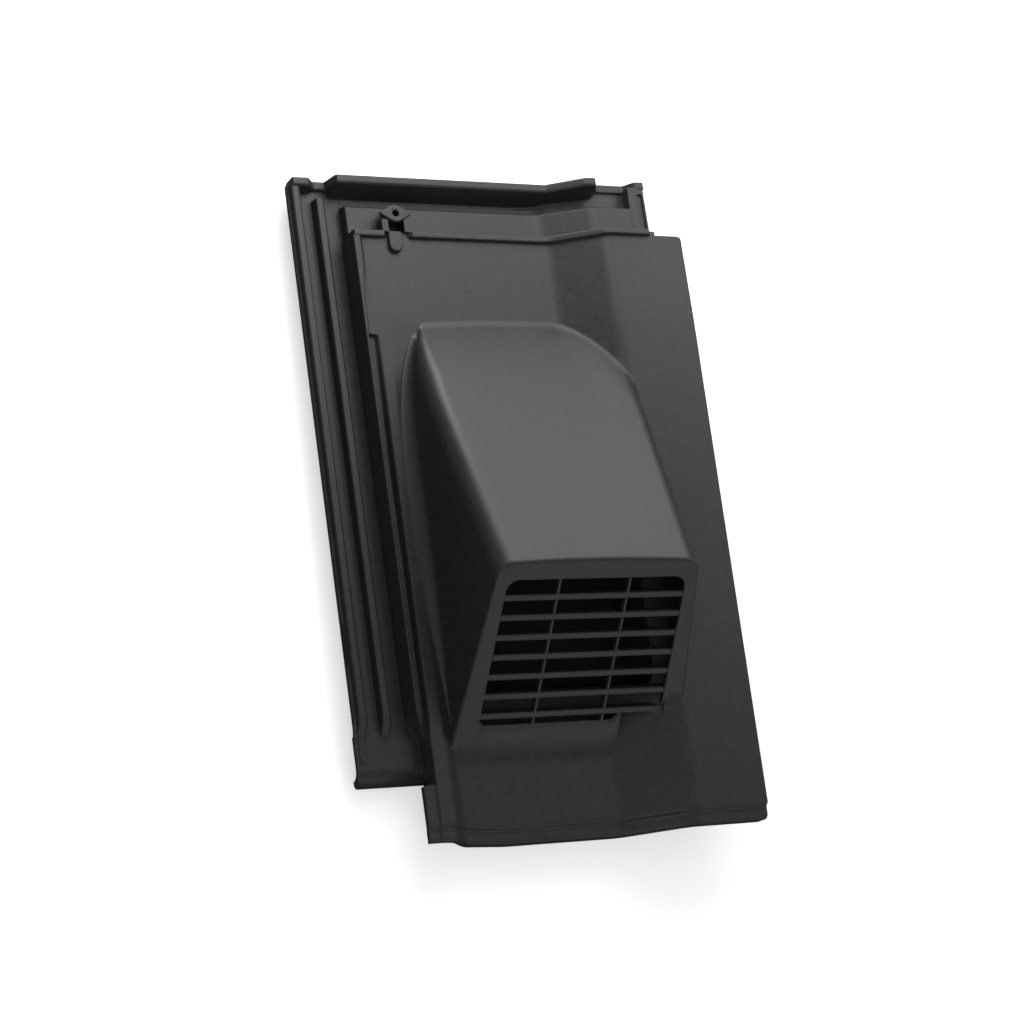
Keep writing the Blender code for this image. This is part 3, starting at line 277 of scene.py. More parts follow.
def fall(y):
    share = (FALL_START_Y - y) / (FALL_START_Y - FOOT_Y)
    return FOOT_FALL * min(max(share, 0.0), 1.0)


def remap(value, pairs):
    """Carry a value through straight pieces between matching stops; outside them it stays."""
    for (a, result_a), (b, result_b) in zip(pairs, pairs[1:]):
        if a <= value <= b:
            return result_a + (result_b - result_a) * (value - a) / (b - a)
    return value


def slope_stops(y):
    """Places of the head's section, each with where it lies further down the tile."""
    share = fall(y) / FOOT_FALL
    right = SLOPE_X + SLOPE_RUN
    return ((BORDER_FOOT_X, BORDER_FOOT_X), (SLOPE_X, SLOPE_X - SLOPE_GROW_LEFT * share),
            (right, right + SLOPE_GROW_RIGHT * share), (PAN_MARGIN_X, PAN_MARGIN_X))


def across(x, y):
    return remap(x, slope_stops(y))


def roll_share(x, y=HEAD_Y):
    place = remap(x, [(b, a) for a, b in slope_stops(y)])
    return ramp((place - SLOPE_X) / SLOPE_RUN, SLOPE_ROUND)


def cover_base(x, y=HEAD_Y):
    return PAN_Z + ROLL_RISE * roll_share(x, y)


def border_foot(y):
    """The border's inner edge drops over a longer run as the pan falls."""
    return BORDER_FLAT_X + BORDER_RUN + (BORDER_FOOT_X - BORDER_FLAT_X - BORDER_RUN) * fall(y) / FOOT_FALL


def cover_z(x, y):
    return cover_base(x, y) - fall(y) * ease(BORDER_FLAT_X, border_foot(y), x)


def corner_pull(x, y):
    """The two outer corners of the roll are rounded in plan."""
    share = min(max((x - RIGHT_X) / CORNER_ROUND + 1.0, 0.0), 1.0)
    pull = CORNER_ROUND * (1.0 - math.sqrt(max(1.0 - share * share, 0.0)))
    return pull * (1.0 - ease(FOOT_Y, FOOT_Y + 0.0180, y) - ease(COVER_END_Y - 0.0180, COVER_END_Y, y))


def foot_bow(x, y):
    share = ease(BORDER_FLAT_X, BORDER_FOOT_X * 1.6, x) * (1.0 - 0.2 * roll_share(x, y))
    return -FOOT_BOW * share * (1.0 - ease(0.0, FOOT_BOW_REACH, y))


def ledge_z(x):
    return cover_base(x) - LEDGE_DROP - LEDGE_DROP_ROLL * roll_share(x)


def channel_z(x):
    return ledge_z(x) - CHANNEL_DROP


def hood_top(y):
    share = (HOOD_BACK_Y - y) / (HOOD_BACK_Y - FACE_Y - HOOD_TOP_Z * FACE_LEAN)
    shape = HOOD_START * share + (1.0 - HOOD_START) * (1.0 - max(1.0 - share, 0.0) ** 5)
    return PAN_Z + (HOOD_TOP_Z - PAN_Z) * shape


# Mesh helpers

def solid(name, vertices, faces):
    """A closed mesh object whose faces all point out."""
    mesh = bpy.data.meshes.new(name)
    mesh.from_pydata([tuple(v) for v in vertices], [], faces)
    body = bmesh.new()
    body.from_mesh(mesh)
    bmesh.ops.remove_doubles(body, verts=body.verts, dist=0.000001)
    bmesh.ops.triangulate(body, faces=body.faces)
    bmesh.ops.dissolve_degenerate(body, edges=body.edges, dist=0.000004)
    bmesh.ops.recalc_face_normals(body, faces=body.faces)
    body.to_mesh(mesh)
    body.free()
    item = bpy.data.objects.new(name, mesh)
    bpy.context.scene.collection.objects.link(item)
    return item


def loft(name, loops):
    """A closed body through loops that have equal point counts."""
    count = len(loops[0])
    faces = []
    for i in range(len(loops) - 1):
        for j in range(count):
            k = (j + 1) % count
            faces.append((i * count + j, i * count + k, (i + 1) * count + k, (i + 1) * count + j))
    faces.append(tuple(range(count)))
    faces.append(tuple(reversed(range((len(loops) - 1) * count, len(loops) * count))))
    return solid(name, [p for loop in loops for p in loop], faces)


def block(name, x0, x1, y0, y1, z0, z1):
    return loft(name, [[(x, y0, z0), (x, y1, z0), (x, y1, z1), (x, y0, z1)] for x in (x0, x1)])


def prism(name, outline, z0, z1):
    return loft(name, [[(x, y, z) for x, y in outline] for z in (z0, z1)])


def sheet(name, tops, unders):
    """A closed wall between two grids of matching points."""
    rows, count = len(tops), len(tops[0])
    below = rows * count
    faces = []
    for i in range(rows - 1):
        for j in range(count - 1):
            a, b = i * count + j, (i + 1) * count + j
            faces.append((a, b, b + 1, a + 1))
            faces.append((below + a, below + a + 1, below + b + 1, below + b))
    for j in range(count - 1):
        for a in (j, (rows - 1) * count + j):
            faces.append((a, a + 1, below + a + 1, below + a))
    for i in range(rows - 1):
        for a in (i * count, i * count + count - 1):
            faces.append((a, a + count, below + a + count, below + a))
    return solid(name, [p for row in tops + unders for p in row], faces)


def combine(target, tool, operation="UNION"):
    """Apply one exact Boolean and drop the tool."""
    change = target.modifiers.new(operation.lower(), "BOOLEAN")
    change.operation = operation
    change.solver = "EXACT"
    change.object = tool
    graph = bpy.context.evaluated_depsgraph_get()
    mesh = bpy.data.meshes.new_from_object(target.evaluated_get(graph))
    target.modifiers.clear()
    old = target.data
    target.data = mesh
    bpy.data.meshes.remove(old)
    bpy.data.objects.remove(tool, do_unlink=True)
    return target


def spread(values, gap):
    """Positions through the given values, none further apart than the gap."""
    result = [values[0]]
    for a, b in zip(values, values[1:]):
        steps = max(1, math.ceil((b - a) / gap - 1e-6))
        result += [a + (b - a) * i / steps for i in range(1, steps + 1)]
    return result


def soften(points, radii, steps, closed=True):
    """Round the corners of a line of points of any dimension; a radius of zero keeps a corner."""
    count = len(points)
    result = []
    for i, (point, radius) in enumerate(zip(points, radii)):
        here = Vector(point)
        if radius <= 0.0 or (not closed and i in (0, count - 1)):
            result.append(tuple(here))
            continue
        before, after = Vector(points[i - 1]), Vector(points[(i + 1) % count])
        near = Vector(here[:2])
        arm_a, arm_b = (Vector(before[:2]) - near).length, (Vector(after[:2]) - near).length
        share_a = min(radius / max(arm_a, 1e-9), 0.49)
        share_b = min(radius / max(arm_b, 1e-9), 0.49)
        start, end = here.lerp(before, share_a), here.lerp(after, share_b)
        for k in range(steps + 1):
            t = k / steps
            result.append(tuple((1 - t) ** 2 * start + 2 * t * (1 - t) * here + t * t * end))
    return result


def rounded_box(x0, x1, y0, y1, radius, steps):
    outline = []
    for cx, cy, start in ((x1, y1, 0), (x0, y1, 90), (x0, y0, 180), (x1, y0, 270)):
        px = cx - radius if cx == x1 else cx + radius
        py = cy - radius if cy == y1 else cy + radius
        for i in range(steps + 1):
            angle = math.radians(start + 90.0 * i / steps)
            outline.append((px + radius * math.cos(angle), py + radius * math.sin(angle)))
    return outline


def swept(name, positions, section):
    """A body swept across the tile: section(x) gives its (y, z) points."""
    return loft(name, [[(x, y, z) for y, z in section(x)] for x in positions])


# Cover

def cover_samples(y=HEAD_Y):
    """Positions across the cover, close together where its section bends."""
    bend = SLOPE_ROUND * SLOPE_RUN
    foot = border_foot(y)
    stops = [BORDER_FLAT_X + (foot - BORDER_FLAT_X) * i / 10 for i in range(11)]
    stops += [foot + (BORDER_FOOT_X - foot) * i / 2 for i in (1, 2)]
    plain = spread([BORDER_FOOT_X + 0.0010, SLOPE_X - bend], 0.030)
    plain += spread([SLOPE_X - bend, SLOPE_X + bend], 0.0012)[1:]
    plain += spread([SLOPE_X + bend, SLOPE_X + SLOPE_RUN - bend], 0.009)[1:]
    plain += spread([SLOPE_X + SLOPE_RUN - bend, SLOPE_X + SLOPE_RUN + bend], 0.0012)[1:]
    plain += spread([SLOPE_X + SLOPE_RUN + bend, PAN_MARGIN_X], 0.020)[1:]
    return stops + [across(x, y) for x in plain] + [RIGHT_X - EDGE_ROUND - 0.0020]


def groove_depth(y):
    share = min(max((GROOVE_END_Y - y) / GROOVE_RUN, 0.0), 1.0)
    return GROOVE_DEPTH * (0.6 + 0.4 * share)


def rim_side(kind, y):
    """The rim end of the cover section: outer x and z with inner x and z, and a corner radius."""
    edge = 0.0010
    rim_right = RIM_X + RIM_WIDTH
    deep = LAP_PLATE_Z + SKIN * 0.5
    corner = [(BORDER_X, PAN_Z), (BORDER_X + edge * 1.6, PAN_Z)]
    corner_in = [(BORDER_X + SKIN - 0.0003, PAN_Z - SKIN - edge), (BORDER_X + SKIN, PAN_Z - SKIN)]
    if kind == "bead":
        top = PAN_Z - SIDE_STEP
        outer = [(BEAD_X + 0.0003, PAN_Z - SIDE_DEPTH), (BEAD_X, top - 0.0033), (BEAD_X, top),
                 (BEAD_X + 0.0032, top), (BORDER_X - 0.0026, top), (BORDER_X - 0.0006, top)]
        inner = [(BEAD_X + SKIN - 0.0003, PAN_Z - SIDE_DEPTH), (BEAD_X + SKIN, top - 0.0042),
                 (BEAD_X + SKIN + 0.0002, top - 0.0036), (BEAD_X + SKIN + 0.0006, top - SKIN),
                 (BORDER_X - 0.0006, top - SKIN), (BORDER_X + 0.0012, top - SKIN)]
        radii = (0.0, 0.0, 0.0028, 0.0003, 0.0, 0.0010, 0.0010, 0.0)
    elif kind == "wall":
        shares = (0.0, 0.15, 0.30, 0.45, 0.60, 0.80)
        lean = 0.0012
        outer = [(BORDER_X - lean * (1.0 - s), deep + (PAN_Z - edge - deep) * s) for s in shares]
        inner = [(BORDER_X + SKIN - lean * (1.0 - s), deep + (PAN_Z - SKIN - edge - deep) * s)
                 for s in shares]
        radii = (0.0, 0.0, 0.0004, 0.0004, 0.0, 0.0004, 0.0011, 0.0)
    elif kind == "groove":
        low = -groove_depth(y)
        corner = [(GROOVE_EDGE_X, PAN_Z), (GROOVE_EDGE_X + edge * 1.6, PAN_Z)]
        corner_in = [(GROOVE_EDGE_X + SKIN - 0.0003, PAN_Z - SKIN - edge),
                     (GROOVE_EDGE_X + SKIN, PAN_Z - SKIN)]
        outer = [(RIM_X - 0.0013, deep), (RIM_X - 0.0003, -0.0050), (RIM_X, 0.0), (rim_right, 0.0),
                 (rim_right + 0.0004, low), (GROOVE_EDGE_X - 0.0018, low)]
        inner = [(RIM_X + SKIN - 0.0013, deep), (RIM_X + SKIN - 0.0011, low - 0.0060),
                 (RIM_X + SKIN - 0.0010, low - 0.0050), (RIM_X + SKIN - 0.0008, low - 0.0040),
                 (RIM_X + SKIN, low - SKIN), (BORDER_X + SKIN * 0.6, low - SKIN)]
        radii = (0.0, 0.0, 0.0009, 0.0007, 0.0, 0.0009, 0.0019, 0.0)
    else:
        rim_right = RIM_X + 0.0024 + 0.0026 * ease(0.3700, 0.4050, y)
        outer = [(RIM_X - 0.0013, deep), (RIM_X - 0.0003, -0.0050), (RIM_X, 0.0), (rim_right, -0.0001),
                 (rim_right + 0.0009, -0.0016), (BORDER_X - 0.0014, PAN_Z + 0.0004)]
        inner = [(RIM_X + SKIN - 0.0013, deep), (RIM_X + SKIN - 0.0002, -0.0070), (RIM_X + SKIN, -0.0052),
                 (RIM_X + SKIN + 0.0002, -0.0045), (RIM_X + SKIN + 0.0012, -0.0044),
                 (BORDER_X - 0.0010, PAN_Z - SKIN * 0.9)]
        radii = (0.0, 0.0, 0.0009, 0.0006, 0.0, 0.0007, 0.0007, 0.0)
        corner = [(BORDER_X, PAN_Z + 0.0001), (BORDER_X + edge * 1.6, PAN_Z)]
    joined = [a + b for a, b in zip(outer + corner, inner + corner_in)]
    return soften(joined, radii, 5, closed=False)


def roll_edge():
    """The rounded right edge: outer step in x and z, inner step in x and lift."""
    turn = EDGE_ROUND
    joined = [(-turn - 0.0010, 0.0, -0.0004, 0.0), (0.0, 0.0, -SKIN + 0.0004, 0.0010),
              (0.0, -turn - 0.0008, -SKIN, 0.0030), (0.0, -EDGE_DROP, -SKIN, SKIN)]
    return soften(joined, (0.0, turn + 0.0004, 0.0, 0.0), 8, closed=False)


def lip_depth(x):
    """The lip is shallow at the side bead and grows to its full depth across the border."""
    return SIDE_DEPTH + (LIP_DEPTH - SIDE_DEPTH) * ease(BORDER_X, BORDER_FOOT_X, x)


def cover_row(kind, place, drop, place_in, drop_in):
    """One row of the cover: outer points at one place up the slope, inner points at another."""
    tops, lows = [], []
    foot = PAN_Z - SIDE_DEPTH if drop or drop_in else -FAR
    for x, z, x_in, z_in in rim_side(kind, place):
        bead = kind == "bead" and x < BORDER_X - 0.0001 and z < PAN_Z - SIDE_STEP * 0.5
        less = SIDE_STEP if bead else 0.0
        tops.append((x, place, max(z - max(drop - less, 0.0), foot)))
        lows.append((x_in, place_in, max(z_in - max(drop_in - less, 0.0), foot)))
    samples = []
    for x in cover_samples(place)[1:]:
        sloping = 0.02 < roll_share(x, place) < 0.98
        samples.append((x, 0.0, SKIN * 0.28 * sloping, 0.0))
    samples += [(RIGHT_X + dx, dz, dx_in, lift) for dx, dz, dx_in, lift in roll_edge()]
    for x, dz, dx, lift in samples:
        base = cover_z(x, place)
        shift = foot_bow(x, place) + corner_pull(x, place)
        tops.append((x, place + shift, max(base + dz - drop, base - lip_depth(x))))
        base = cover_z(x, place_in)
        under = max(base + dz - SKIN + lift - drop_in, base - lip_depth(x))
        lows.append((x + dx, place_in + shift, under))
    return tops, lows


def cover_plate():
    joined = [(0.0, LIP_DEPTH, SKIN, LIP_DEPTH), (0.0, 0.0068, SKIN, 0.0048), (0.0, LIP_STEP, SKIN, 0.0030),
              (0.0045, LIP_STEP, 0.0065, LIP_STEP), (0.0092, LIP_STEP, 0.0120, LIP_STEP),
              (0.0106, 0.0, 0.0134, 0.0004), (0.0136, 0.0, LIP_RUN + 0.0016, 0.0)]
    joined = soften(joined, (0.0, 0.0, 0.0026, 0.0, 0.0020, 0.0020, 0.0), 6, closed=False)
    rows = [("bead", FOOT_Y + a, b, FOOT_Y + c, d) for a, b, c, d in joined]
    plain = [("bead", y) for y in spread([BEAD_END_Y * 0.25, BEAD_END_Y], 0.006)]
    plain += [("wall", y) for y in spread([BEAD_END_Y + 0.0030, RIM_END_Y - RIM_END_RUN], 0.009)]
    groove = spread([RIM_END_Y, GROOVE_END_Y - GROOVE_RUN, GROOVE_END_Y - 0.0008], 0.020)
    plain += [("groove", y) for y in groove]
    plain += [("flush", y) for y in spread([GROOVE_END_Y, FALL_START_Y, COVER_END_Y], 0.008)]
    rows += [(kind, y, 0.0, y, 0.0) for kind, y in plain]
    built = [cover_row(*row) for row in rows]
    return sheet("cover", [b[0] for b in built], [b[1] for b in built])


# Side lap

def lap_profile(back, pull):
    """Gutter plate and its rounded end, which turns down over the tile below."""
    steps = 10
    run, drop = LAP_LIP_RUN, LAP_LIP_DROP
    run_in, drop_in = LAP_LIP_RUN - SKIN * 0.9, LAP_LIP_DROP - SKIN
    outer, inner = [(back, LAP_FLOOR_Z)], [(back, LAP_PLATE_Z)]
    for i in range(steps + 1):
        angle = math.radians(90.0 * i / steps)
        near = pull * math.sin(angle)
        outer.append((LAP_END_Y + near + run * (1.0 - math.sin(angle)),
                      LAP_FLOOR_Z - drop * (1.0 - math.cos(angle))))
        inner.append((LAP_END_Y + near + run - run_in * math.sin(angle),
                      LAP_PLATE_Z - drop_in * (1.0 - math.cos(angle))))
    return outer + list(reversed(inner))


def lap_flange():
    """The thin flange outside the first rib, notched once along its length."""
    y0, y1 = LAP_NOTCH_Y
    near = LAP_RIB_END_Y - LAP_RIB_END_RUN
    inside = LAP_RIB_X[0] + 0.0010
    places = [(near - 0.0020, 0.0002, 0.0), (near + 0.0030, 0.0002, 0.30), (near + 0.0080, 0.0002, 0.78),
              (LAP_RIB_END_Y, 0.0002, 1.0), (y0 - 0.0030, 0.0002, 1.0), (y0 - 0.0020, 0.0005, 1.0),
              (y0, LAP_NOTCH_DEPTH, 1.0), (y1, LAP_NOTCH_DEPTH, 1.0), (y1 + 0.0020, 0.0004, 1.0),
              (y1 + 0.0030, 0.0001, 1.0), (HEAD_Y - 0.0145, 0.0, 1.0), (HEAD_Y - 0.0110, 0.0002, 1.0),
              (HEAD_Y - 0.0080, 0.0006, 1.0), (HEAD_Y - 0.0050, 0.0014, 1.0), (HEAD_Y - 0.0030, 0.0024, 1.0)]
    loops = []
    for y, pull, share in places:
        left = LEFT_X + pull
        top = LAP_FLOOR_Z + 0.0002 + (LAP_FLANGE_Z - LAP_FLOOR_Z - 0.0002) * share
        edge = top - LAP_FLANGE_DROP * (0.3 + 0.7 * share)
        low = edge - LAP_FLANGE_THICK
        corners = [(left, low), (left, edge), (inside, top), (inside, low)]
        section = soften(corners, (0.0, 0.0006, 0.0, 0.0), 4)
        loops.append([(x, y, z) for x, z in section])
    return loft("flange", loops)


def side_lap():
    """The gutter plate with its two ribs, filleted into the floor, and the flange outside them."""
    under_wall = RIM_X + SKIN * 0.7
    edge = LAP_RIB_X[0] - 0.0007
    near = LAP_RIB_END_Y - LAP_RIB_END_RUN
    stations = [(LEFT_X, near + 0.0005, 0.0024), (LEFT_X + 0.0003, near + 0.0013, 0.0015),
                (LEFT_X + 0.0008, near + 0.0022, 0.0007), (edge - 0.0003, near + 0.0030, 0.0002),
                (edge, HEAD_Y - 0.0040, 0.0), (edge + 0.0016, HEAD_Y - EMBED, 0.0),
                (under_wall, HEAD_Y - EMBED, 0.0), (under_wall + 0.0004, RIM_END_Y, 0.0),
                (BORDER_X + SKIN * 0.6, RIM_END_Y - 0.0010, 0.0)]
    plate = loft("side_lap", [[(x, y, z) for y, z in lap_profile(back, pull)] for x, back, pull in stations])
    low, floor = LAP_FLOOR_Z - EMBED, LAP_FLOOR_Z + 0.0001
    for index, x in enumerate(LAP_RIB_X):
        right = x + LAP_RIB_WIDTH + 0.0010
        back = HEAD_Y - HEAD_WALL - (-0.0010 if index == 0 else 0.0090)
        reach = 0.0 if index == 0 else 0.0024
        loops = []
        ends = [(LAP_RIB_END_Y - LAP_RIB_END_RUN - 0.0015, 0.0), (LAP_RIB_END_Y - LAP_RIB_END_RUN, 0.03),
                (LAP_RIB_END_Y - LAP_RIB_END_RUN * 0.85, 0.14), (LAP_RIB_END_Y - LAP_RIB_END_RUN * 0.2, 0.84),
                (LAP_RIB_END_Y, 0.97), (LAP_RIB_END_Y + 0.0020, 1.0), (back, 1.0)]
        for y, share in ends:
            z = floor + 0.0001 + (LAP_RIB_TOP_Z - floor - 0.0001) * share
            edge = min(0.0012, (z - floor) * 0.5)
            turn = min(0.0026, (z - floor) * 0.6)
            foot = min(0.0016, (z - floor) * 0.4)
            side = x - 0.0007 + 0.0006 * (1 - share)
            corners = [(side - reach, low), (side - reach, floor), (side, floor),
                       (x, z), (right, z), (right + 0.0007 - 0.0006 * (1 - share), floor),
                       (right + 0.0024, floor), (right + 0.0024, low)]
            if index == 0:
                corners[0:3] = [(side, low), (side, floor - 0.0001), (side, floor)]
            section = soften(corners, (0.0, 0.0, foot * (index > 0), edge, turn, foot, 0.0, 0.0), 5)
            loops.append([(px, y, pz) for px, pz in section])
        combine(plate, loft("rib", loops))
    top = LAP_FLOOR_Z + LAP_STRIP_HEIGHT
    edge = ((0.0, low), (LAP_RIB_WIDTH, low), (LAP_RIB_WIDTH - 0.0004, top), (0.0006, top))
    ends = (LAP_END_Y + LAP_LIP_RUN + 0.0040, LAP_RIB_END_Y - LAP_RIB_END_RUN * 0.7)
    combine(plate, loft("strip", [[(LAP_RIB_X[0] + dx, y, z) for dx, z in edge] for y in ends]))
    combine(plate, lap_flange())
    return plate


# Head

def head_plate():
    """Ledge, then the cross channel that drains to the side lap."""
    samples = [BORDER_FOOT_X]
    samples += [s for s in cover_samples() if BORDER_FOOT_X + 0.001 < s < HEAD_RIGHT_X - 0.003]
    samples.append(HEAD_RIGHT_X - EMBED)
    left = RIM_X + 0.0009
    deep = LAP_PLATE_Z + SKIN * 0.5

    def row(y, top, under):
        start = top(0.0)
        low = under(0.0) - SKIN
        corner = [(left - 0.0006, deep, left + SKIN * 0.6, min(deep, low)),
                  (left, start, left + SKIN * 0.8, low), (left + 0.0030, start, left + SKIN, low)]
        corner = soften(corner, (0.0, 0.0010, 0.0), 4, closed=False)
        tops = [(x, y, z) for x, z, _, _ in corner] + [(x, y, top(x)) for x in samples]
        lows = [(x, y, z) for _, _, x, z in corner] + [(x, y, under(x) - SKIN) for x in samples]
        return tops, lows

    near = LEDGE_END_Y - SKIN
    between = [(LEDGE_END_Y - 0.0012, 0.0), (LEDGE_END_Y - 0.0004, 0.06), (LEDGE_END_Y + 0.0001, 0.16),
               (LEDGE_END_Y + 0.0006, 0.80), (LEDGE_END_Y + 0.0012, 0.94), (LEDGE_END_Y + 0.0022, 1.0)]
    rows = [row(COVER_END_Y - 0.0030, ledge_z, ledge_z), row(near, ledge_z, ledge_z),
            row(near + 0.0008, ledge_z, channel_z)]
    for y, share in between:
        rows.append(row(y, lambda x, s=share: ledge_z(x) - CHANNEL_DROP * s, channel_z))
    rows.append(row(HEAD_Y - EMBED, channel_z, channel_z))
    return sheet("head_plate", [r[0] for r in rows], [r[1] for r in rows])


def head_wall():
    """The stepped wall along the head of the tile, its steps softly rounded."""
    left = LAP_RIB_X[0] + 0.0012
    notch = left + 0.0123
    inside = RIM_X - 0.0082
    roll = SLOPE_X + SLOPE_RUN - 0.0055
    drain = roll + 0.0092
    bump = HEAD_RIGHT_X - 0.0088
    stops = ((left, HEAD_LEFT_Z), (notch, HEAD_LEFT_Z), (notch + 0.0048, HEAD_NOTCH_Z),
             (inside, HEAD_NOTCH_Z), (inside + 0.0010, HEAD_WALL_Z), (SLOPE_X + 0.0068, HEAD_WALL_Z),
             (roll, HEAD_ROLL_Z), (drain, HEAD_ROLL_Z), (drain + 0.0025, HEAD_DRAIN_Z),
             (bump - 0.0025, HEAD_DRAIN_Z), (bump, HEAD_RIGHT_Z), (HEAD_RIGHT_X, HEAD_RIGHT_Z))

    def straight(x):
        if x <= left:
            return HEAD_LEFT_Z
        for (a, za), (b, zb) in zip(stops, stops[1:]):
            if x <= b:
                return za + (zb - za) * (x - a) / (b - a)
        return HEAD_RIGHT_Z

    def height(x):
        steps = 10
        width = 0.0014 + 0.0014 * ease(roll - 0.0040, roll, x)
        return sum(straight(x + width * (2.0 * i / steps - 1.0)) for i in range(steps + 1)) / (steps + 1)

    positions = {left, HEAD_RIGHT_X}
    for x, _ in stops:
        for step in (-0.0030, -0.0022, -0.0014, -0.0007, 0.0, 0.0007, 0.0014, 0.0022, 0.0030):
            if left < x + step < HEAD_RIGHT_X:
                positions.add(round(x + step, 6))
    positions = spread(sorted(positions), 0.0200)

    def section(x):
        floor = LAP_FLOOR_Z if x < RIM_X else channel_z(x)
        top = max(height(x), floor + 0.0018)
        front = HEAD_Y - HEAD_WALL
        toe = front - HEAD_WALL_LEAN * (top - floor)
        corners = [(HEAD_Y, floor - SKIN - 0.0003), (HEAD_Y, top), (front, top), (toe, floor + 0.0001),
                   (toe - 0.0016, floor + 0.0001), (toe - 0.0016, floor - SKIN * 0.5),
                   (front - 0.0010, floor - SKIN - 0.0003)]
        edge = min(0.0012, (top - floor) * 0.4)
        front_edge = min(0.0018, (top - floor) * 0.4)
        return soften(corners, (0.0, edge, front_edge, 0.0014, 0.0, 0.0, 0.0), 5)
    return swept("head_wall", positions, section)


def ridge():
    """The upstand between the cover and the head ledge, lowered where the tongue crosses it."""
    gap0, gap1 = BOSS_X - RIDGE_GAP * 0.5, BOSS_X + RIDGE_GAP * 0.5
    end = HEAD_RIGHT_X - 0.0014
    stops = [RIM_X + 0.0012, gap0 - 0.0030, gap0 - 0.0015, gap0, gap1, gap1 + 0.0015, gap1 + 0.0030]
    stops += [s for s in cover_samples() if gap1 + 0.005 < s < end]
    stops = sorted(stops + [RIDGE_END_X + 0.0005 * i for i in range(-5, 4)] + [end])

    def section(x):
        top = cover_base(x) + RIDGE_HEIGHT + 0.0002
        dip = ease(gap0 - 0.0030, gap0, x) * (1.0 - ease(gap1, gap1 + 0.0030, x))
        end_fall = ease(RIDGE_END_X - 0.0025, RIDGE_END_X + 0.0015, x)
        top -= (RIDGE_HEIGHT + 0.0006) * dip + (RIDGE_HEIGHT + 0.0018) * end_fall
        low = ledge_z(x) - SKIN + EMBED
        foot = ledge_z(x) + 0.0001
        back = RIDGE_Y + RIDGE_WIDTH
        corners = [(RIDGE_Y, low), (RIDGE_Y, top), (back, top), (back + 0.0003, foot), (back + 0.0018, foot),
                   (back + 0.0018, low)]
        return soften(corners, (0.0, 0.0011, 0.0013, 0.0014, 0.0, 0.0), 5)
    return swept("ridge", stops, section)


def head_side_rib():
    right = HEAD_RIGHT_X - 0.0003
    left = right - HEAD_RIB_WIDTH

    def loop(y, low):
        foot, top = ledge_z(left), HEAD_RIGHT_Z - 0.0004
        corners = [(left - 0.0050, low), (left - 0.0050, foot + 0.0002), (left - 0.0026, foot + 0.0004),
                   (left - 0.0006, top), (right, top), (right, low)]
        section = soften(corners, (0.0, 0.0, 0.0016, 0.0014, 0.0010, 0.0), 5)
        return [(x, y, z) for x, z in section]

    high = ledge_z(HEAD_RIGHT_X) - SKIN + EMBED
    low = channel_z(HEAD_RIGHT_X) - SKIN + EMBED
    near = LEDGE_END_Y - SKIN
    return loft("head_side_rib", [loop(RIDGE_Y + RIDGE_WIDTH - 0.0010, high), loop(near + 0.0012, high),
                                  loop(near + 0.0016, low), loop(HEAD_Y - HEAD_WALL + 0.0015, low)])


def side_rib_recess():
    """The shallow recess in the top of the head's side rib."""
    x0, x1 = HEAD_RIGHT_X - 0.0003 - HEAD_RIB_WIDTH + 0.0018, HEAD_RIGHT_X - 0.0024
    y0, y1 = RIDGE_Y + RIDGE_WIDTH + 0.0040, HEAD_Y - HEAD_WALL - 0.0040
    loops = []
    for step, grow in ((-0.0022, 0.0), (-0.0012, 0.0), (0.0010, 0.0008)):
        outline = rounded_box(x0 - grow, x1 + grow, y0 - grow, y1 + grow, 0.0012, 4)
        loops.append([(x, y, HEAD_RIGHT_Z + step) for x, y in outline])
    return loft("side_rib_recess", loops)


def boss_outline(grow):
    """A lozenge: a disc with two rounded points, drawn by the direction its edge faces."""
    points = []
    tip, disc = 0.0014, 0.5 * BOSS_WIDTH - 0.0006
    reach = 0.5 * BOSS_LENGTH - tip
    turn = math.acos((disc - tip) / reach)
    for i in range(72):
        angle = 2.0 * math.pi * (i + 0.5) / 72
        if abs(math.cos(angle)) > math.cos(turn):
            x, radius = math.copysign(reach, math.cos(angle)), tip
        else:
            x, radius = 0.0, disc
        points.append((BOSS_X + (x + radius * math.cos(angle)) * grow,
                       BOSS_Y + radius * math.sin(angle) * grow))
    return points


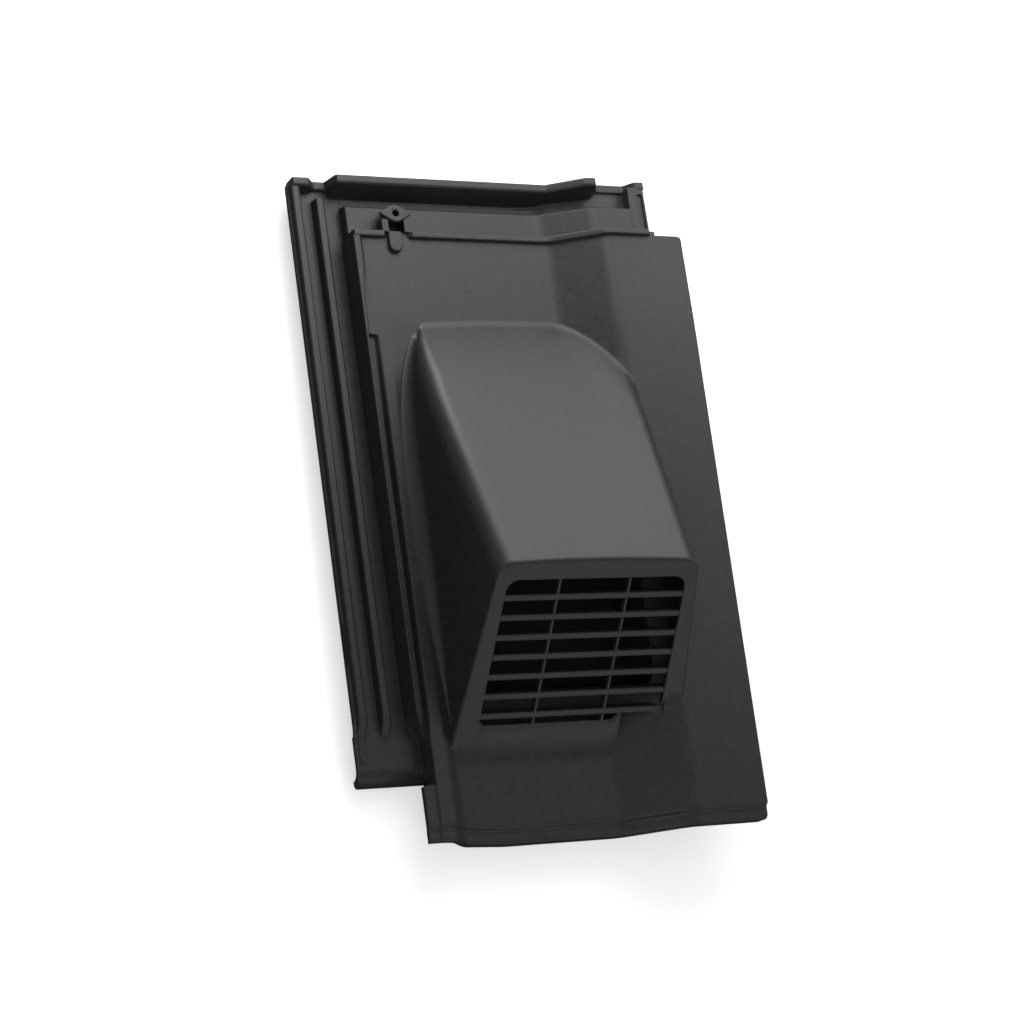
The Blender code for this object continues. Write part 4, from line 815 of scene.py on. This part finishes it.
def add_boss(body):
    top = BOSS_TOP_Z
    low = ledge_z(BOSS_X) - EMBED
    rings = ((0.93, top - BOSS_PLATE), (1.0, top - BOSS_PLATE + 0.0006), (1.0, top - 0.0013),
             (0.985, top - 0.0006), (0.95, top - 0.0002), (0.90, top))
    combine(body, loft("boss_head", [[(x, y, z) for x, y in boss_outline(g)] for g, z in rings]))
    half = BOSS_STEM * 0.5
    combine(body, block("boss_stem", BOSS_X - half, BOSS_X + half, BOSS_Y - half * 0.75, BOSS_Y + half * 0.85,
                        low, top - BOSS_PLATE + EMBED))
    for x in (BOSS_X - half - BOSS_POST, BOSS_X + half):
        combine(body, block("boss_post", x, x + BOSS_POST, RIDGE_Y + RIDGE_WIDTH - 0.0006, BOSS_Y - 0.0040,
                            low, top - BOSS_PLATE * 0.5))
    half = TONGUE_WIDTH * 0.5
    back = RIDGE_Y + RIDGE_WIDTH - 0.0010

    def tongue_loop(pull, z):
        shape = []
        for i in range(17):
            angle = math.pi * i / 16
            shape.append((TONGUE_X + (half - pull) * math.cos(angle),
                          TONGUE_END_Y + half - (half - pull) * math.sin(angle)))
        shape += [(TONGUE_X - half + pull, back), (TONGUE_X + half - pull, back)]
        return [(x, y, z) for x, y in shape]

    rings = [tongue_loop(0.0, PAN_Z - EMBED), tongue_loop(0.0, -0.0006), tongue_loop(0.0004, 0.0001),
             tongue_loop(0.0012, 0.0004)]
    combine(body, loft("tongue", rings))
    radius = BOSS_HOLE * 0.5
    hole = [(BOSS_X + radius * math.cos(math.pi * i / 16), BOSS_Y + radius * math.sin(math.pi * i / 16))
            for i in range(32)]
    combine(body, prism("boss_hole", hole, LAP_PLATE_Z - FAR, top + EMBED), "DIFFERENCE")


# Hood

def flank_flare(y):
    """The left flank's flare is widest halfway along the hood and dies out at both ends."""
    front = FACE_Y - 0.0040
    share = min(max((y - front) / (HOOD_BACK_Y - front), 0.0), 1.0)
    return HOOD_FILLET * max(math.sin(math.pi * share), 0.0) ** (1.4 if share < 0.5 else 0.5)


def right_flare(y):
    start = FACE_Y + (PAN_Z + ROLL_RISE) * FACE_LEAN - 0.0060
    return HOOD_FILLET_RIGHT * ease(start, start + 0.0380, y)


def rear_pull(y):
    """The left flank turns in towards the rear of the hood."""
    share = min(max(1.0 - (HOOD_BACK_Y - y) / HOOD_CORNER_RUN, 0.0), 1.02)
    return HOOD_CORNER * share ** 5


def rear_lift(x, y):
    """The top bulges a little where the hood's rear crosses the slope to the roll."""
    share = min(max((x - SLOPE_X) / SLOPE_RUN, 0.0), 1.0)
    start = HOOD_BACK_Y - HOOD_REAR_LIFT_RUN
    return HOOD_REAR_LIFT * math.sin(math.pi * share) * ease(start, start + 0.5 * HOOD_REAR_LIFT_RUN, y)


def blend(z, x, y):
    """Let the rear edge run out into the cover through a soft concave line."""
    z += rear_lift(x, y)
    cover = cover_z(x, y) - 0.00012
    gap = z - cover
    if gap < -HOOD_BLEND:
        return cover - min(0.3 * (-gap - HOOD_BLEND), 0.0012)
    near = max(HOOD_BLEND - abs(gap), 0.0) / HOOD_BLEND
    return max(z, cover) + near * near * HOOD_BLEND * 0.25


def hood_loop(y, inset, low):
    """One cross section of the hood; the inset gives its inside."""
    steps = 12
    top = hood_top(y) - inset
    radius = max(HOOD_ROUND - inset, 0.002)
    shoulder = top - radius
    tight = min(max(0.45 * (top + inset - PAN_Z) + 0.0020, 0.0025), HOOD_ROUND)
    tight = max(tight - inset, 0.0020)
    bend = top - tight
    corner = rear_pull(y)

    def left(z):
        return HOOD_LEFT_X + HOOD_LEFT_DRAFT * z + inset + corner

    def right(z):
        return HOOD_RIGHT_X - HOOD_RIGHT_DRAFT * z - inset

    x0, x1 = left(bend), right(shoulder)
    middle, half = 0.5 * (x0 + x1), 0.5 * (x1 - x0)
    flare = flank_flare(y) if inset == 0.0 else 0.0
    flare_right = right_flare(y) if inset == 0.0 else 0.0
    pan = cover_z(BORDER_FLAT_X, y)
    roll = cover_z(HOOD_RIGHT_X, y)

    def crown(x):
        return HOOD_CROWN * ((x - middle) / half) ** 2

    def side(base, width, edge, way, limit):
        points = [(edge(low) + way * width, low)]
        for i in range(9):
            angle = math.radians(90.0 * i / 8)
            out, up = 1.0 - math.sin(angle), 1.0 - math.cos(angle)
            z = min(base + 0.0001 + up * max(width, 0.002), limit - 0.0002 * (9 - i))
            points.append((edge(z) + way * width * out, z))
        return points

    upper = []
    for i in range(1, steps + 1):
        angle = math.radians(90.0 * i / steps)
        x = x0 + tight * (1.0 - math.cos(angle))
        upper.append((x, bend + tight * math.sin(angle) - crown(x)))
    count = 48
    for i in range(1, count):
        x = x0 + tight + (x1 - x0 - radius - tight) * i / count
        upper.append((x, top - crown(x)))
    for i in range(steps, 0, -1):
        angle = math.radians(90.0 * i / steps)
        x = x1 - radius * (1.0 - math.cos(angle))
        upper.append((x, shoulder + radius * math.sin(angle) - crown(x)))
    if inset == 0.0:
        upper = [(x, blend(z, x, y)) for x, z in upper]
    points = side(pan, flare, left, -1.0, bend) + [(x0, bend)] + upper
    return points + [(x1, shoulder)] + list(reversed(side(roll, flare_right, right, 1.0, shoulder)))


def leaning_loop(start, lean, inset, low):
    """The hood's section in a plane that leans up the slope, found point by point."""
    points = hood_loop(start, inset, low)
    places = [start] * len(points)
    for _ in range(14):
        targets = [start + lean * z for _, z in points]
        places = [0.5 * (a + b) for a, b in zip(places, targets)]
        sections = {}
        points = []
        for index, y in enumerate(places):
            key = round(y, 7)
            if key not in sections:
                sections[key] = hood_loop(y, inset, low)
            points.append(sections[key][index])
    return [(x, start + lean * z, z) for x, z in points]


def hood_block(name, inset, low):
    """The hood as a solid whose front loop lies in the louvre face."""
    behind = inset / FACE_COS
    loops = []
    if inset == 0.0:
        for i in range(6):
            angle = math.radians(90.0 * i / 5)
            depth = FACE_ROUND * (1.0 - math.sin(angle))
            pull = FACE_ROUND * (1.0 - math.cos(angle))
            loops.append((depth, pull))
        loops.reverse()
    else:
        loops.append((0.0, 0.0))
    built = []
    middle = Vector((0.5 * (HOOD_LEFT_X + HOOD_RIGHT_X), FACE_Y))
    for depth, pull in loops:
        ring = []
        for x, y, z in leaning_loop(FACE_Y + behind + depth / FACE_COS, FACE_LEAN, inset, low):
            side = 1.0 if x < middle.x else -1.0
            rise = ease(HOOD_TOP_Z - HOOD_ROUND * 1.6, HOOD_TOP_Z, z)
            ring.append((x + side * pull * (1.0 - rise), y - pull * rise * FACE_LEAN * FACE_COS,
                         z - pull * rise * FACE_COS))
        built.append(ring)
    count = 26
    front = FACE_Y + behind + (FACE_ROUND / FACE_COS if inset == 0.0 else 0.0)
    for i in range(1, count + 1):
        share = i / count
        start = front + (HOOD_BACK_Y - HOOD_TURN - front) * share
        built.append(leaning_loop(start, FACE_LEAN * (1.0 - share) ** 1.6, inset, low))
    back = HOOD_BACK_Y + HOOD_BLEND - inset
    bends = [HOOD_BACK_Y - HOOD_TURN * (1.0 - i / 30) ** 1.3 for i in range(1, 31)]
    bends += [HOOD_BACK_Y + HOOD_BLEND * i / 8 for i in range(1, 8)]
    for y in [b for b in bends if b < back - 0.0004] + [back]:
        built.append([(x, y, z) for x, z in hood_loop(y, inset, low)])
    return loft(name, built)


def face_point(x, up, depth):
    """A point on the louvre face: across, up the face from the pan, and into the hood."""
    foot = PAN_Z - fall(FACE_Y - 0.012)
    z = foot + up * FACE_COS
    y = FACE_Y + foot * FACE_LEAN + up * FACE_SIN
    return (x, y + depth * FACE_COS, z - depth * FACE_SIN)


def face_bar(name, x0, x1, corners, radii):
    section = soften(corners, radii, 4)
    return loft(name, [[face_point(x, up, depth) for up, depth in section] for x in (x0, x1)])


def cut_opening(hood):
    shape = []
    left, right, taper, radius = OPENING_LEFT_X, OPENING_RIGHT_X, OPENING_TAPER, OPENING_ROUND
    for cx, start in ((right - taper - radius, 0), (left + taper + radius, 90)):
        for i in range(13):
            angle = math.radians(start + 90.0 * i / 12)
            shape.append((cx + radius * math.cos(angle), OPENING_TOP - radius + radius * math.sin(angle)))
    shape += [(left, -0.030), (right, -0.030)]
    loops = [[face_point(x, up, depth) for x, up in shape] for depth in (-0.008, SKIN + 0.0025)]
    combine(hood, loft("opening", loops), "DIFFERENCE")


def add_grille(hood):
    edge = 0.0030
    for i in range(SLAT_COUNT):
        up = SLAT_FIRST + SLAT_PITCH * i
        x0 = OPENING_LEFT_X + OPENING_TAPER * up / OPENING_TOP - edge
        x1 = OPENING_RIGHT_X - OPENING_TAPER * up / OPENING_TOP + edge
        corners = [(up, SLAT_RECESS), (up + SLAT_THICK, SLAT_RECESS), (up + SLAT_THICK, SLAT_DEPTH),
                   (up, SLAT_DEPTH)]
        combine(hood, face_bar("slat", x0, x1, corners, (0.0008, 0.0008, 0.0, 0.0)))
    for x in WEB_X:
        half = WEB_THICK * 0.5
        loops = []
        for up in (0.004, OPENING_TOP + edge):
            section = soften([(x - half, SLAT_RECESS + 0.0004), (x + half, SLAT_RECESS + 0.0004),
                              (x + half, SLAT_DEPTH - 0.0006), (x - half, SLAT_DEPTH - 0.0006)],
                             (0.0006, 0.0006, 0.0, 0.0), 4)
            loops.append([face_point(px, up, depth) for px, depth in section])
        combine(hood, loft("web", loops))


def face_foot(x):
    """Where the louvre face meets the cover."""
    y = FACE_Y
    for _ in range(6):
        y = FACE_Y + cover_z(x, y) * FACE_LEAN
    return y, cover_z(x, y)


def leg_foot(positions, outer):
    """The concave foot in front of one leg of the louvre frame; it runs out at the outer end."""
    def section(x):
        share = 0.06 + 0.94 * ease(0.0, 0.0080, abs(x - outer))
        height, reach = LEG_FOOT_HEIGHT * share, LEG_FOOT_REACH * share
        y, z = face_foot(x)
        start = (y - reach, cover_z(x, y - reach) - 0.0001)
        end = (y + height * FACE_LEAN + 0.0002, z + height)
        points = []
        for i in range(13):
            t = i / 12
            a, b, c = (1.0 - t) ** 2, 2.0 * t * (1.0 - t), t * t
            points.append((a * start[0] + b * y + c * end[0], a * start[1] + b * z + c * end[1]))
        return points + [(end[0] + 0.0009, end[1] - 0.0011), (y + 0.0006, z - 0.0011),
                         (start[0], start[1] - 0.0008)]
    return swept("leg_foot", positions, section)


def sill_base(x):
    return cover_z(x, FACE_Y + SILL_TOP_Z * FACE_LEAN - SILL_RUN) - 0.0002


def sill_top(x):
    """The sill's edge turns up at both ends of the opening."""
    near = min(x - OPENING_LEFT_X + 0.0010, SILL_END_X - x)
    return SILL_TOP_Z + SILL_END_RISE * (1.0 - ease(0.0, SILL_END_RUN, near))


def sill():
    """The concave upstand that closes the foot of the grille against driven rain."""
    x0 = OPENING_LEFT_X - 0.0020
    low = sill_base(SLOPE_X) - 0.0080
    run = SILL_END_RUN
    stops = spread([x0, x0 + run * 1.8], 0.0012) + spread([SILL_END_X - run * 1.5, SILL_END_X], 0.0012)

    def section(x):
        base = sill_base(x)
        rise = sill_top(x) - base
        top_y = FACE_Y + sill_top(x) * FACE_LEAN - 0.0004
        front = FACE_Y + SILL_TOP_Z * FACE_LEAN - SILL_RUN
        points = [(front, low - 0.0020)]
        for i in range(13):
            share = i / 12
            points.append((front + (top_y - front) * share, base + rise * share ** 2.2))
        return points + [(top_y + SILL_WALL, base + rise), (top_y + SILL_WALL + 0.0010, low - 0.0020)]
    return swept("sill", stops, section)


def sill_core():
    """The space under the sill ramp, open from below."""
    top_y = FACE_Y + SILL_TOP_Z * FACE_LEAN - 0.0004

    def section(x):
        base = sill_base(x)
        rise = SILL_TOP_Z - base
        points = [(top_y - SILL_RUN * 0.42, -FAR)]
        for share in (0.58, 0.70, 0.85, 0.985):
            points.append((top_y - SILL_RUN * (1.0 - share), base + rise * share ** 2.2 - SKIN * 1.15))
        return points + [(top_y - SILL_RUN * 0.015, -FAR)]
    return swept("sill_core", [OPENING_LEFT_X + SKIN, SILL_END_X - SKIN], section)


def half_space(name, above, depth):
    """Everything above, or below, a surface inside the cover wall."""
    limit = FAR if above else REST_Z - 0.02
    loops = []
    for y in spread([LIP_BEAD_Y, RIM_END_Y, FALL_START_Y, COVER_END_Y - 0.005], 0.05):
        samples = [BORDER_X + 0.002] + cover_samples(y) + [RIGHT_X - 0.005]
        skin = [(x, cover_z(x, y) - depth) for x in samples]
        far = [(RIGHT_X - 0.005, limit), (BORDER_X + 0.002, limit)]
        loops.append([(x, y, z) for x, z in skin + far])
    return loft(name, loops)


# Underside

def collar():
    outline = rounded_box(DUCT_LEFT_X - COLLAR_WALL, DUCT_RIGHT_X + COLLAR_WALL, DUCT_FRONT_Y - COLLAR_WALL,
                          DUCT_BACK_Y + COLLAR_WALL, DUCT_ROUND + COLLAR_WALL, 10)
    return combine(prism("collar", outline, REST_Z, FAR), half_space("below", False, SKIN * 0.4), "INTERSECT")


def duct_tool():
    outline = rounded_box(DUCT_LEFT_X, DUCT_RIGHT_X, DUCT_FRONT_Y, DUCT_BACK_Y, DUCT_ROUND, 10)
    inside = hood_block("duct", SKIN, REST_Z - 0.02)
    return combine(inside, prism("duct_outline", outline, REST_Z - 0.01, FAR), "INTERSECT")


def brace_across(y, x0, x1, depth):
    samples = [s for s in cover_samples(y) if x0 < s < x1]

    def section(x):
        under = cover_z(x, y) - SKIN
        high = under + SKIN * 0.6
        return [(y, under - depth), (y + BRACE_THICK, under - depth), (y + BRACE_THICK, high), (y, high)]
    return swept("brace", [x0] + samples + [x1], section)


def brace_along(x, y0, y1, depth):
    loops = []
    places = [y0, FALL_START_Y, y1] if y0 < FALL_START_Y < y1 else [y0, y1]
    for y in places:
        under = cover_z(x, y) - SKIN
        loops.append([(x, y, under - depth), (x + BRACE_THICK, y, under - depth),
                      (x + BRACE_THICK, y, under + EMBED), (x, y, under + EMBED)])
    return loft("brace", loops)


def add_underside(body):
    for x in NIB_X:
        loops = []
        for z, pull in ((REST_Z, 0.0010), (ledge_z(x) - SKIN + EMBED, 0.0)):
            x0, x1, back = x + pull, x + NIB_WIDTH - pull, NIB_Y + NIB_THICK - pull
            loops.append([(x0, NIB_Y, z), (x1, NIB_Y, z), (x1, back, z), (x0, back, z)])
        combine(body, loft("nib", loops))
    roll_under = cover_z(RIGHT_X, SKIRT_FRONT_Y) - EDGE_DROP + 0.003
    combine(body, block("skirt", RIGHT_X - SKIN + 0.0003, RIGHT_X - 0.0003, SKIRT_FRONT_Y, SKIRT_BACK_Y,
                        SKIRT_BOTTOM_Z, roll_under))
    hook_x = RIGHT_X - HOOK_INSET
    combine(body, block("hook", hook_x, hook_x + BRACE_THICK, SKIRT_FRONT_Y, SKIRT_BACK_Y, SKIRT_BOTTOM_Z,
                        cover_z(hook_x, SKIRT_FRONT_Y) - SKIN + 0.0015))
    right = RIGHT_X - SKIN + EMBED
    combine(body, brace_across(FOOT_BRACE_Y, BORDER_X + SKIN * 0.6, right, BRACE_DEPTH))
    combine(body, brace_across(HEAD_BRACE_Y, RIM_X + SKIN * 0.4, right, BRACE_DEPTH))
    front, back = DUCT_FRONT_Y - COLLAR_WALL * 0.5, DUCT_BACK_Y + COLLAR_WALL * 0.5
    for x in BRACE_X:
        for y0, y1 in ((FOOT_Y + LIP_RUN, front), (back, COVER_END_Y - 0.0010)):
            combine(body, brace_along(x, y0, y1, BRACE_DEPTH * 0.8))
    for share in SIDE_BRACES:
        y = DUCT_FRONT_Y + (DUCT_BACK_Y - DUCT_FRONT_Y) * share
        combine(body, brace_across(y, DUCT_RIGHT_X + COLLAR_WALL * 0.5, hook_x + EMBED, BRACE_DEPTH))


def build_tile():
    body = cover_plate()
    for make in (side_lap, head_plate, head_wall, ridge, head_side_rib):
        combine(body, make())
    combine(body, side_rib_recess(), "DIFFERENCE")
    add_boss(body)
    combine(body, collar())
    combine(body, duct_tool(), "DIFFERENCE")
    hood = hood_block("hood", 0.0, -0.0260)
    combine(hood, hood_block("hood_inside", SKIN, -0.0300), "DIFFERENCE")
    cut_opening(hood)
    add_grille(hood)
    combine(hood, sill())
    left, right = HOOD_LEFT_X - 0.0010, HOOD_RIGHT_X - 0.0030
    for x0, x1, outer in ((left, OPENING_LEFT_X - 0.0003, left), (OPENING_RIGHT_X + 0.0003, right, right)):
        combine(hood, leg_foot(spread([x0, x1], 0.0010), outer))
    combine(hood, half_space("above", True, SKIN * 0.5), "INTERSECT")
    combine(body, hood)
    combine(body, sill_core(), "DIFFERENCE")
    add_underside(body)
    return body


def finish_mesh(body):
    """Move the tile into the frame, weld it, and set smooth shading with sharp creases."""
    centre = Vector(((LEFT_X + RIGHT_X) * 0.5, (FOOT_Y - FOOT_BOW + HEAD_Y) * 0.5, REST_Z))
    mesh = bmesh.new()
    mesh.from_mesh(body.data)
    bmesh.ops.translate(mesh, verts=mesh.verts, vec=-centre)
    bmesh.ops.remove_doubles(mesh, verts=mesh.verts, dist=0.00002)
    bmesh.ops.dissolve_degenerate(mesh, edges=mesh.edges, dist=0.00001)
    bmesh.ops.recalc_face_normals(mesh, faces=mesh.faces)
    for face in mesh.faces:
        face.smooth = True
    for edge in mesh.edges:
        edge.smooth = len(edge.link_faces) == 2 and edge.calc_face_angle(0.0) < math.radians(28.0)
    mesh.to_mesh(body.data)
    mesh.free()
    body.name = body.data.name = "vent_tile_moulding"
    weight = body.modifiers.new("even_normals", "WEIGHTED_NORMAL")
    weight.keep_sharp = True
    return centre


def put(node, values):
    for name, value in values.items():
        node.inputs[name].default_value = value


def plastic():
    """Matt black moulded plastic: fine grain, faint mottling and small soft edges."""
    material = bpy.data.materials.new("black_polypropylene")
    material.use_nodes = True
    nodes, links = material.node_tree.nodes, material.node_tree.links
    shader = nodes["Principled BSDF"]
    place = nodes.new("ShaderNodeTexCoord")
    cloud = nodes.new("ShaderNodeTexNoise")
    put(cloud, {"Scale": MOTTLE_SCALE, "Detail": 5.0})
    tint = nodes.new("ShaderNodeValToRGB")
    stops = ((0.30, PLASTIC_DARK), (0.72, PLASTIC_PALE))
    for element, (position, colour) in zip(tint.color_ramp.elements, stops):
        element.position = position
        element.color = colour
    sheen = nodes.new("ShaderNodeMapRange")
    put(sheen, {"To Min": PLASTIC_ROUGHNESS[0], "To Max": PLASTIC_ROUGHNESS[1]})
    grain = nodes.new("ShaderNodeTexNoise")
    put(grain, {"Scale": GRAIN_SCALE, "Detail": 2.0})
    bump = nodes.new("ShaderNodeBump")
    put(bump, {"Strength": GRAIN_STRENGTH, "Distance": GRAIN_HEIGHT})
    soft = nodes.new("ShaderNodeBevel")
    soft.samples = 6
    put(soft, {"Radius": SOFT_EDGE})
    for giver, result, taker, name in ((place, "Object", cloud, "Vector"), (place, "Object", grain, "Vector"),
                                       (cloud, "Fac", tint, "Fac"), (tint, "Color", shader, "Base Color"),
                                       (cloud, "Fac", sheen, "Value"), (sheen, "Result", shader, "Roughness"),
                                       (grain, "Fac", bump, "Height"), (soft, "Normal", bump, "Normal"),
                                       (bump, "Normal", shader, "Normal")):
        links.new(giver.outputs[result], taker.inputs[name])
    put(shader, {"IOR": PLASTIC_IOR})
    return material


def camera(centre):
    """The photograph's view, stated in tile axes."""
    across = Vector((0.89099561, -0.1389679, 0.43222071)).normalized()
    down = Vector((-0.00986977, -0.95770678, -0.28757662))
    down = (down - across * down.dot(across)).normalized()
    ahead = across.cross(down)
    half = 0.5 * IMAGE
    aim = across * ((ORIGIN_PIXEL[0] - half) / FOCAL) + down * ((ORIGIN_PIXEL[1] - half) / FOCAL) + ahead
    place = -aim * CAMERA_DISTANCE - centre
    data = bpy.data.cameras.new("camera")
    data.sensor_width = SENSOR
    data.lens = SENSOR * FOCAL / IMAGE
    data.clip_end = 50.0
    item = bpy.data.objects.new("camera", data)
    axes = Matrix((across, -down, -ahead)).transposed().to_4x4()
    item.matrix_world = Matrix.Translation(place) @ axes
    bpy.context.scene.collection.objects.link(item)
    bpy.context.scene.camera = item


def area_light(name, place, size, watts, target):
    data = bpy.data.lights.new(name, "AREA")
    data.shape = "RECTANGLE"
    data.size = data.size_y = size
    data.energy = watts
    item = bpy.data.objects.new(name, data)
    item.location = place
    item.rotation_euler = (Vector(place) - Vector(target)).to_track_quat("Z", "Y").to_euler()
    bpy.context.scene.collection.objects.link(item)


def flat_piece(name, x0, x1, y0, y1, z):
    """A level rectangle with its own matt material; gives back the object and the material."""
    mesh = bpy.data.meshes.new(name)
    mesh.from_pydata([(x0, y0, z), (x1, y0, z), (x1, y1, z), (x0, y1, z)], [], [(0, 1, 2, 3)])
    item = bpy.data.objects.new(name, mesh)
    bpy.context.scene.collection.objects.link(item)
    material = bpy.data.materials.new(name)
    material.use_nodes = True
    put(material.node_tree.nodes["Principled BSDF"], {"Roughness": MATT})
    mesh.materials.append(material)
    return item, material


def painted_duct_shade(centre):
    """A dark card under the duct, inside the collar's outline: painted shade that makes the duct read as open
    and deep.
    """
    edge = 0.0010
    card, material = flat_piece("painted_duct_shade", DUCT_LEFT_X - edge - centre.x, DUCT_RIGHT_X + edge - centre.x,
                                DUCT_FRONT_Y - edge - centre.y, DUCT_BACK_Y + edge - centre.y, GAP_TO_FLOOR)
    put(material.node_tree.nodes["Principled BSDF"], {"Base Color": DUCT_SHADE_COLOUR})


def stage(centre):
    """A pale floor that keeps the shadow, and a world that is white to the camera."""
    floor, material = flat_piece("floor", -FLOOR_REACH, FLOOR_REACH, -FLOOR_REACH, FLOOR_REACH, 0.0)
    floor.location.z = -GAP_TO_FLOOR
    nodes, links = material.node_tree.nodes, material.node_tree.links
    shader = nodes["Principled BSDF"]
    ray = nodes.new("ShaderNodeLightPath")
    mix = nodes.new("ShaderNodeMix")
    mix.data_type = "RGBA"
    mix.inputs[6].default_value = FLOOR_LIT
    mix.inputs[7].default_value = FLOOR_SEEN
    links.new(ray.outputs["Is Camera Ray"], mix.inputs["Factor"])
    links.new(mix.outputs[2], shader.inputs["Base Color"])
    put(shader, {"Emission Color": WHITE})
    glow = nodes.new("ShaderNodeMath")
    glow.operation = "MULTIPLY"
    glow.inputs[1].default_value = FLOOR_GLOW
    links.new(ray.outputs["Is Camera Ray"], glow.inputs[0])
    links.new(glow.outputs[0], shader.inputs["Emission Strength"])
    # Painted shade: a dark card under the duct
    painted_duct_shade(centre)
    world = bpy.data.worlds.new("world")
    bpy.context.scene.world = world
    world.use_nodes = True
    nodes, links = world.node_tree.nodes, world.node_tree.links
    back = nodes["Background"]
    put(back, {"Color": WHITE})
    ray = nodes.new("ShaderNodeLightPath")
    level = nodes.new("ShaderNodeMapRange")
    put(level, {"To Min": WORLD_LIGHT, "To Max": 1.0})
    links.new(ray.outputs["Is Camera Ray"], level.inputs["Value"])
    links.new(level.outputs["Result"], back.inputs["Strength"])


tile = build_tile()
centre = finish_mesh(tile)
tile.data.materials.clear()
tile.data.materials.append(plastic())
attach(tile, "root")
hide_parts("vent_tile")
camera(centre)
stage(centre)
for name, place, size, watts in LAMPS:
    area_light(name, place, size, watts, LAMP_TARGET)
bpy.context.scene.view_settings.view_transform = "Standard"
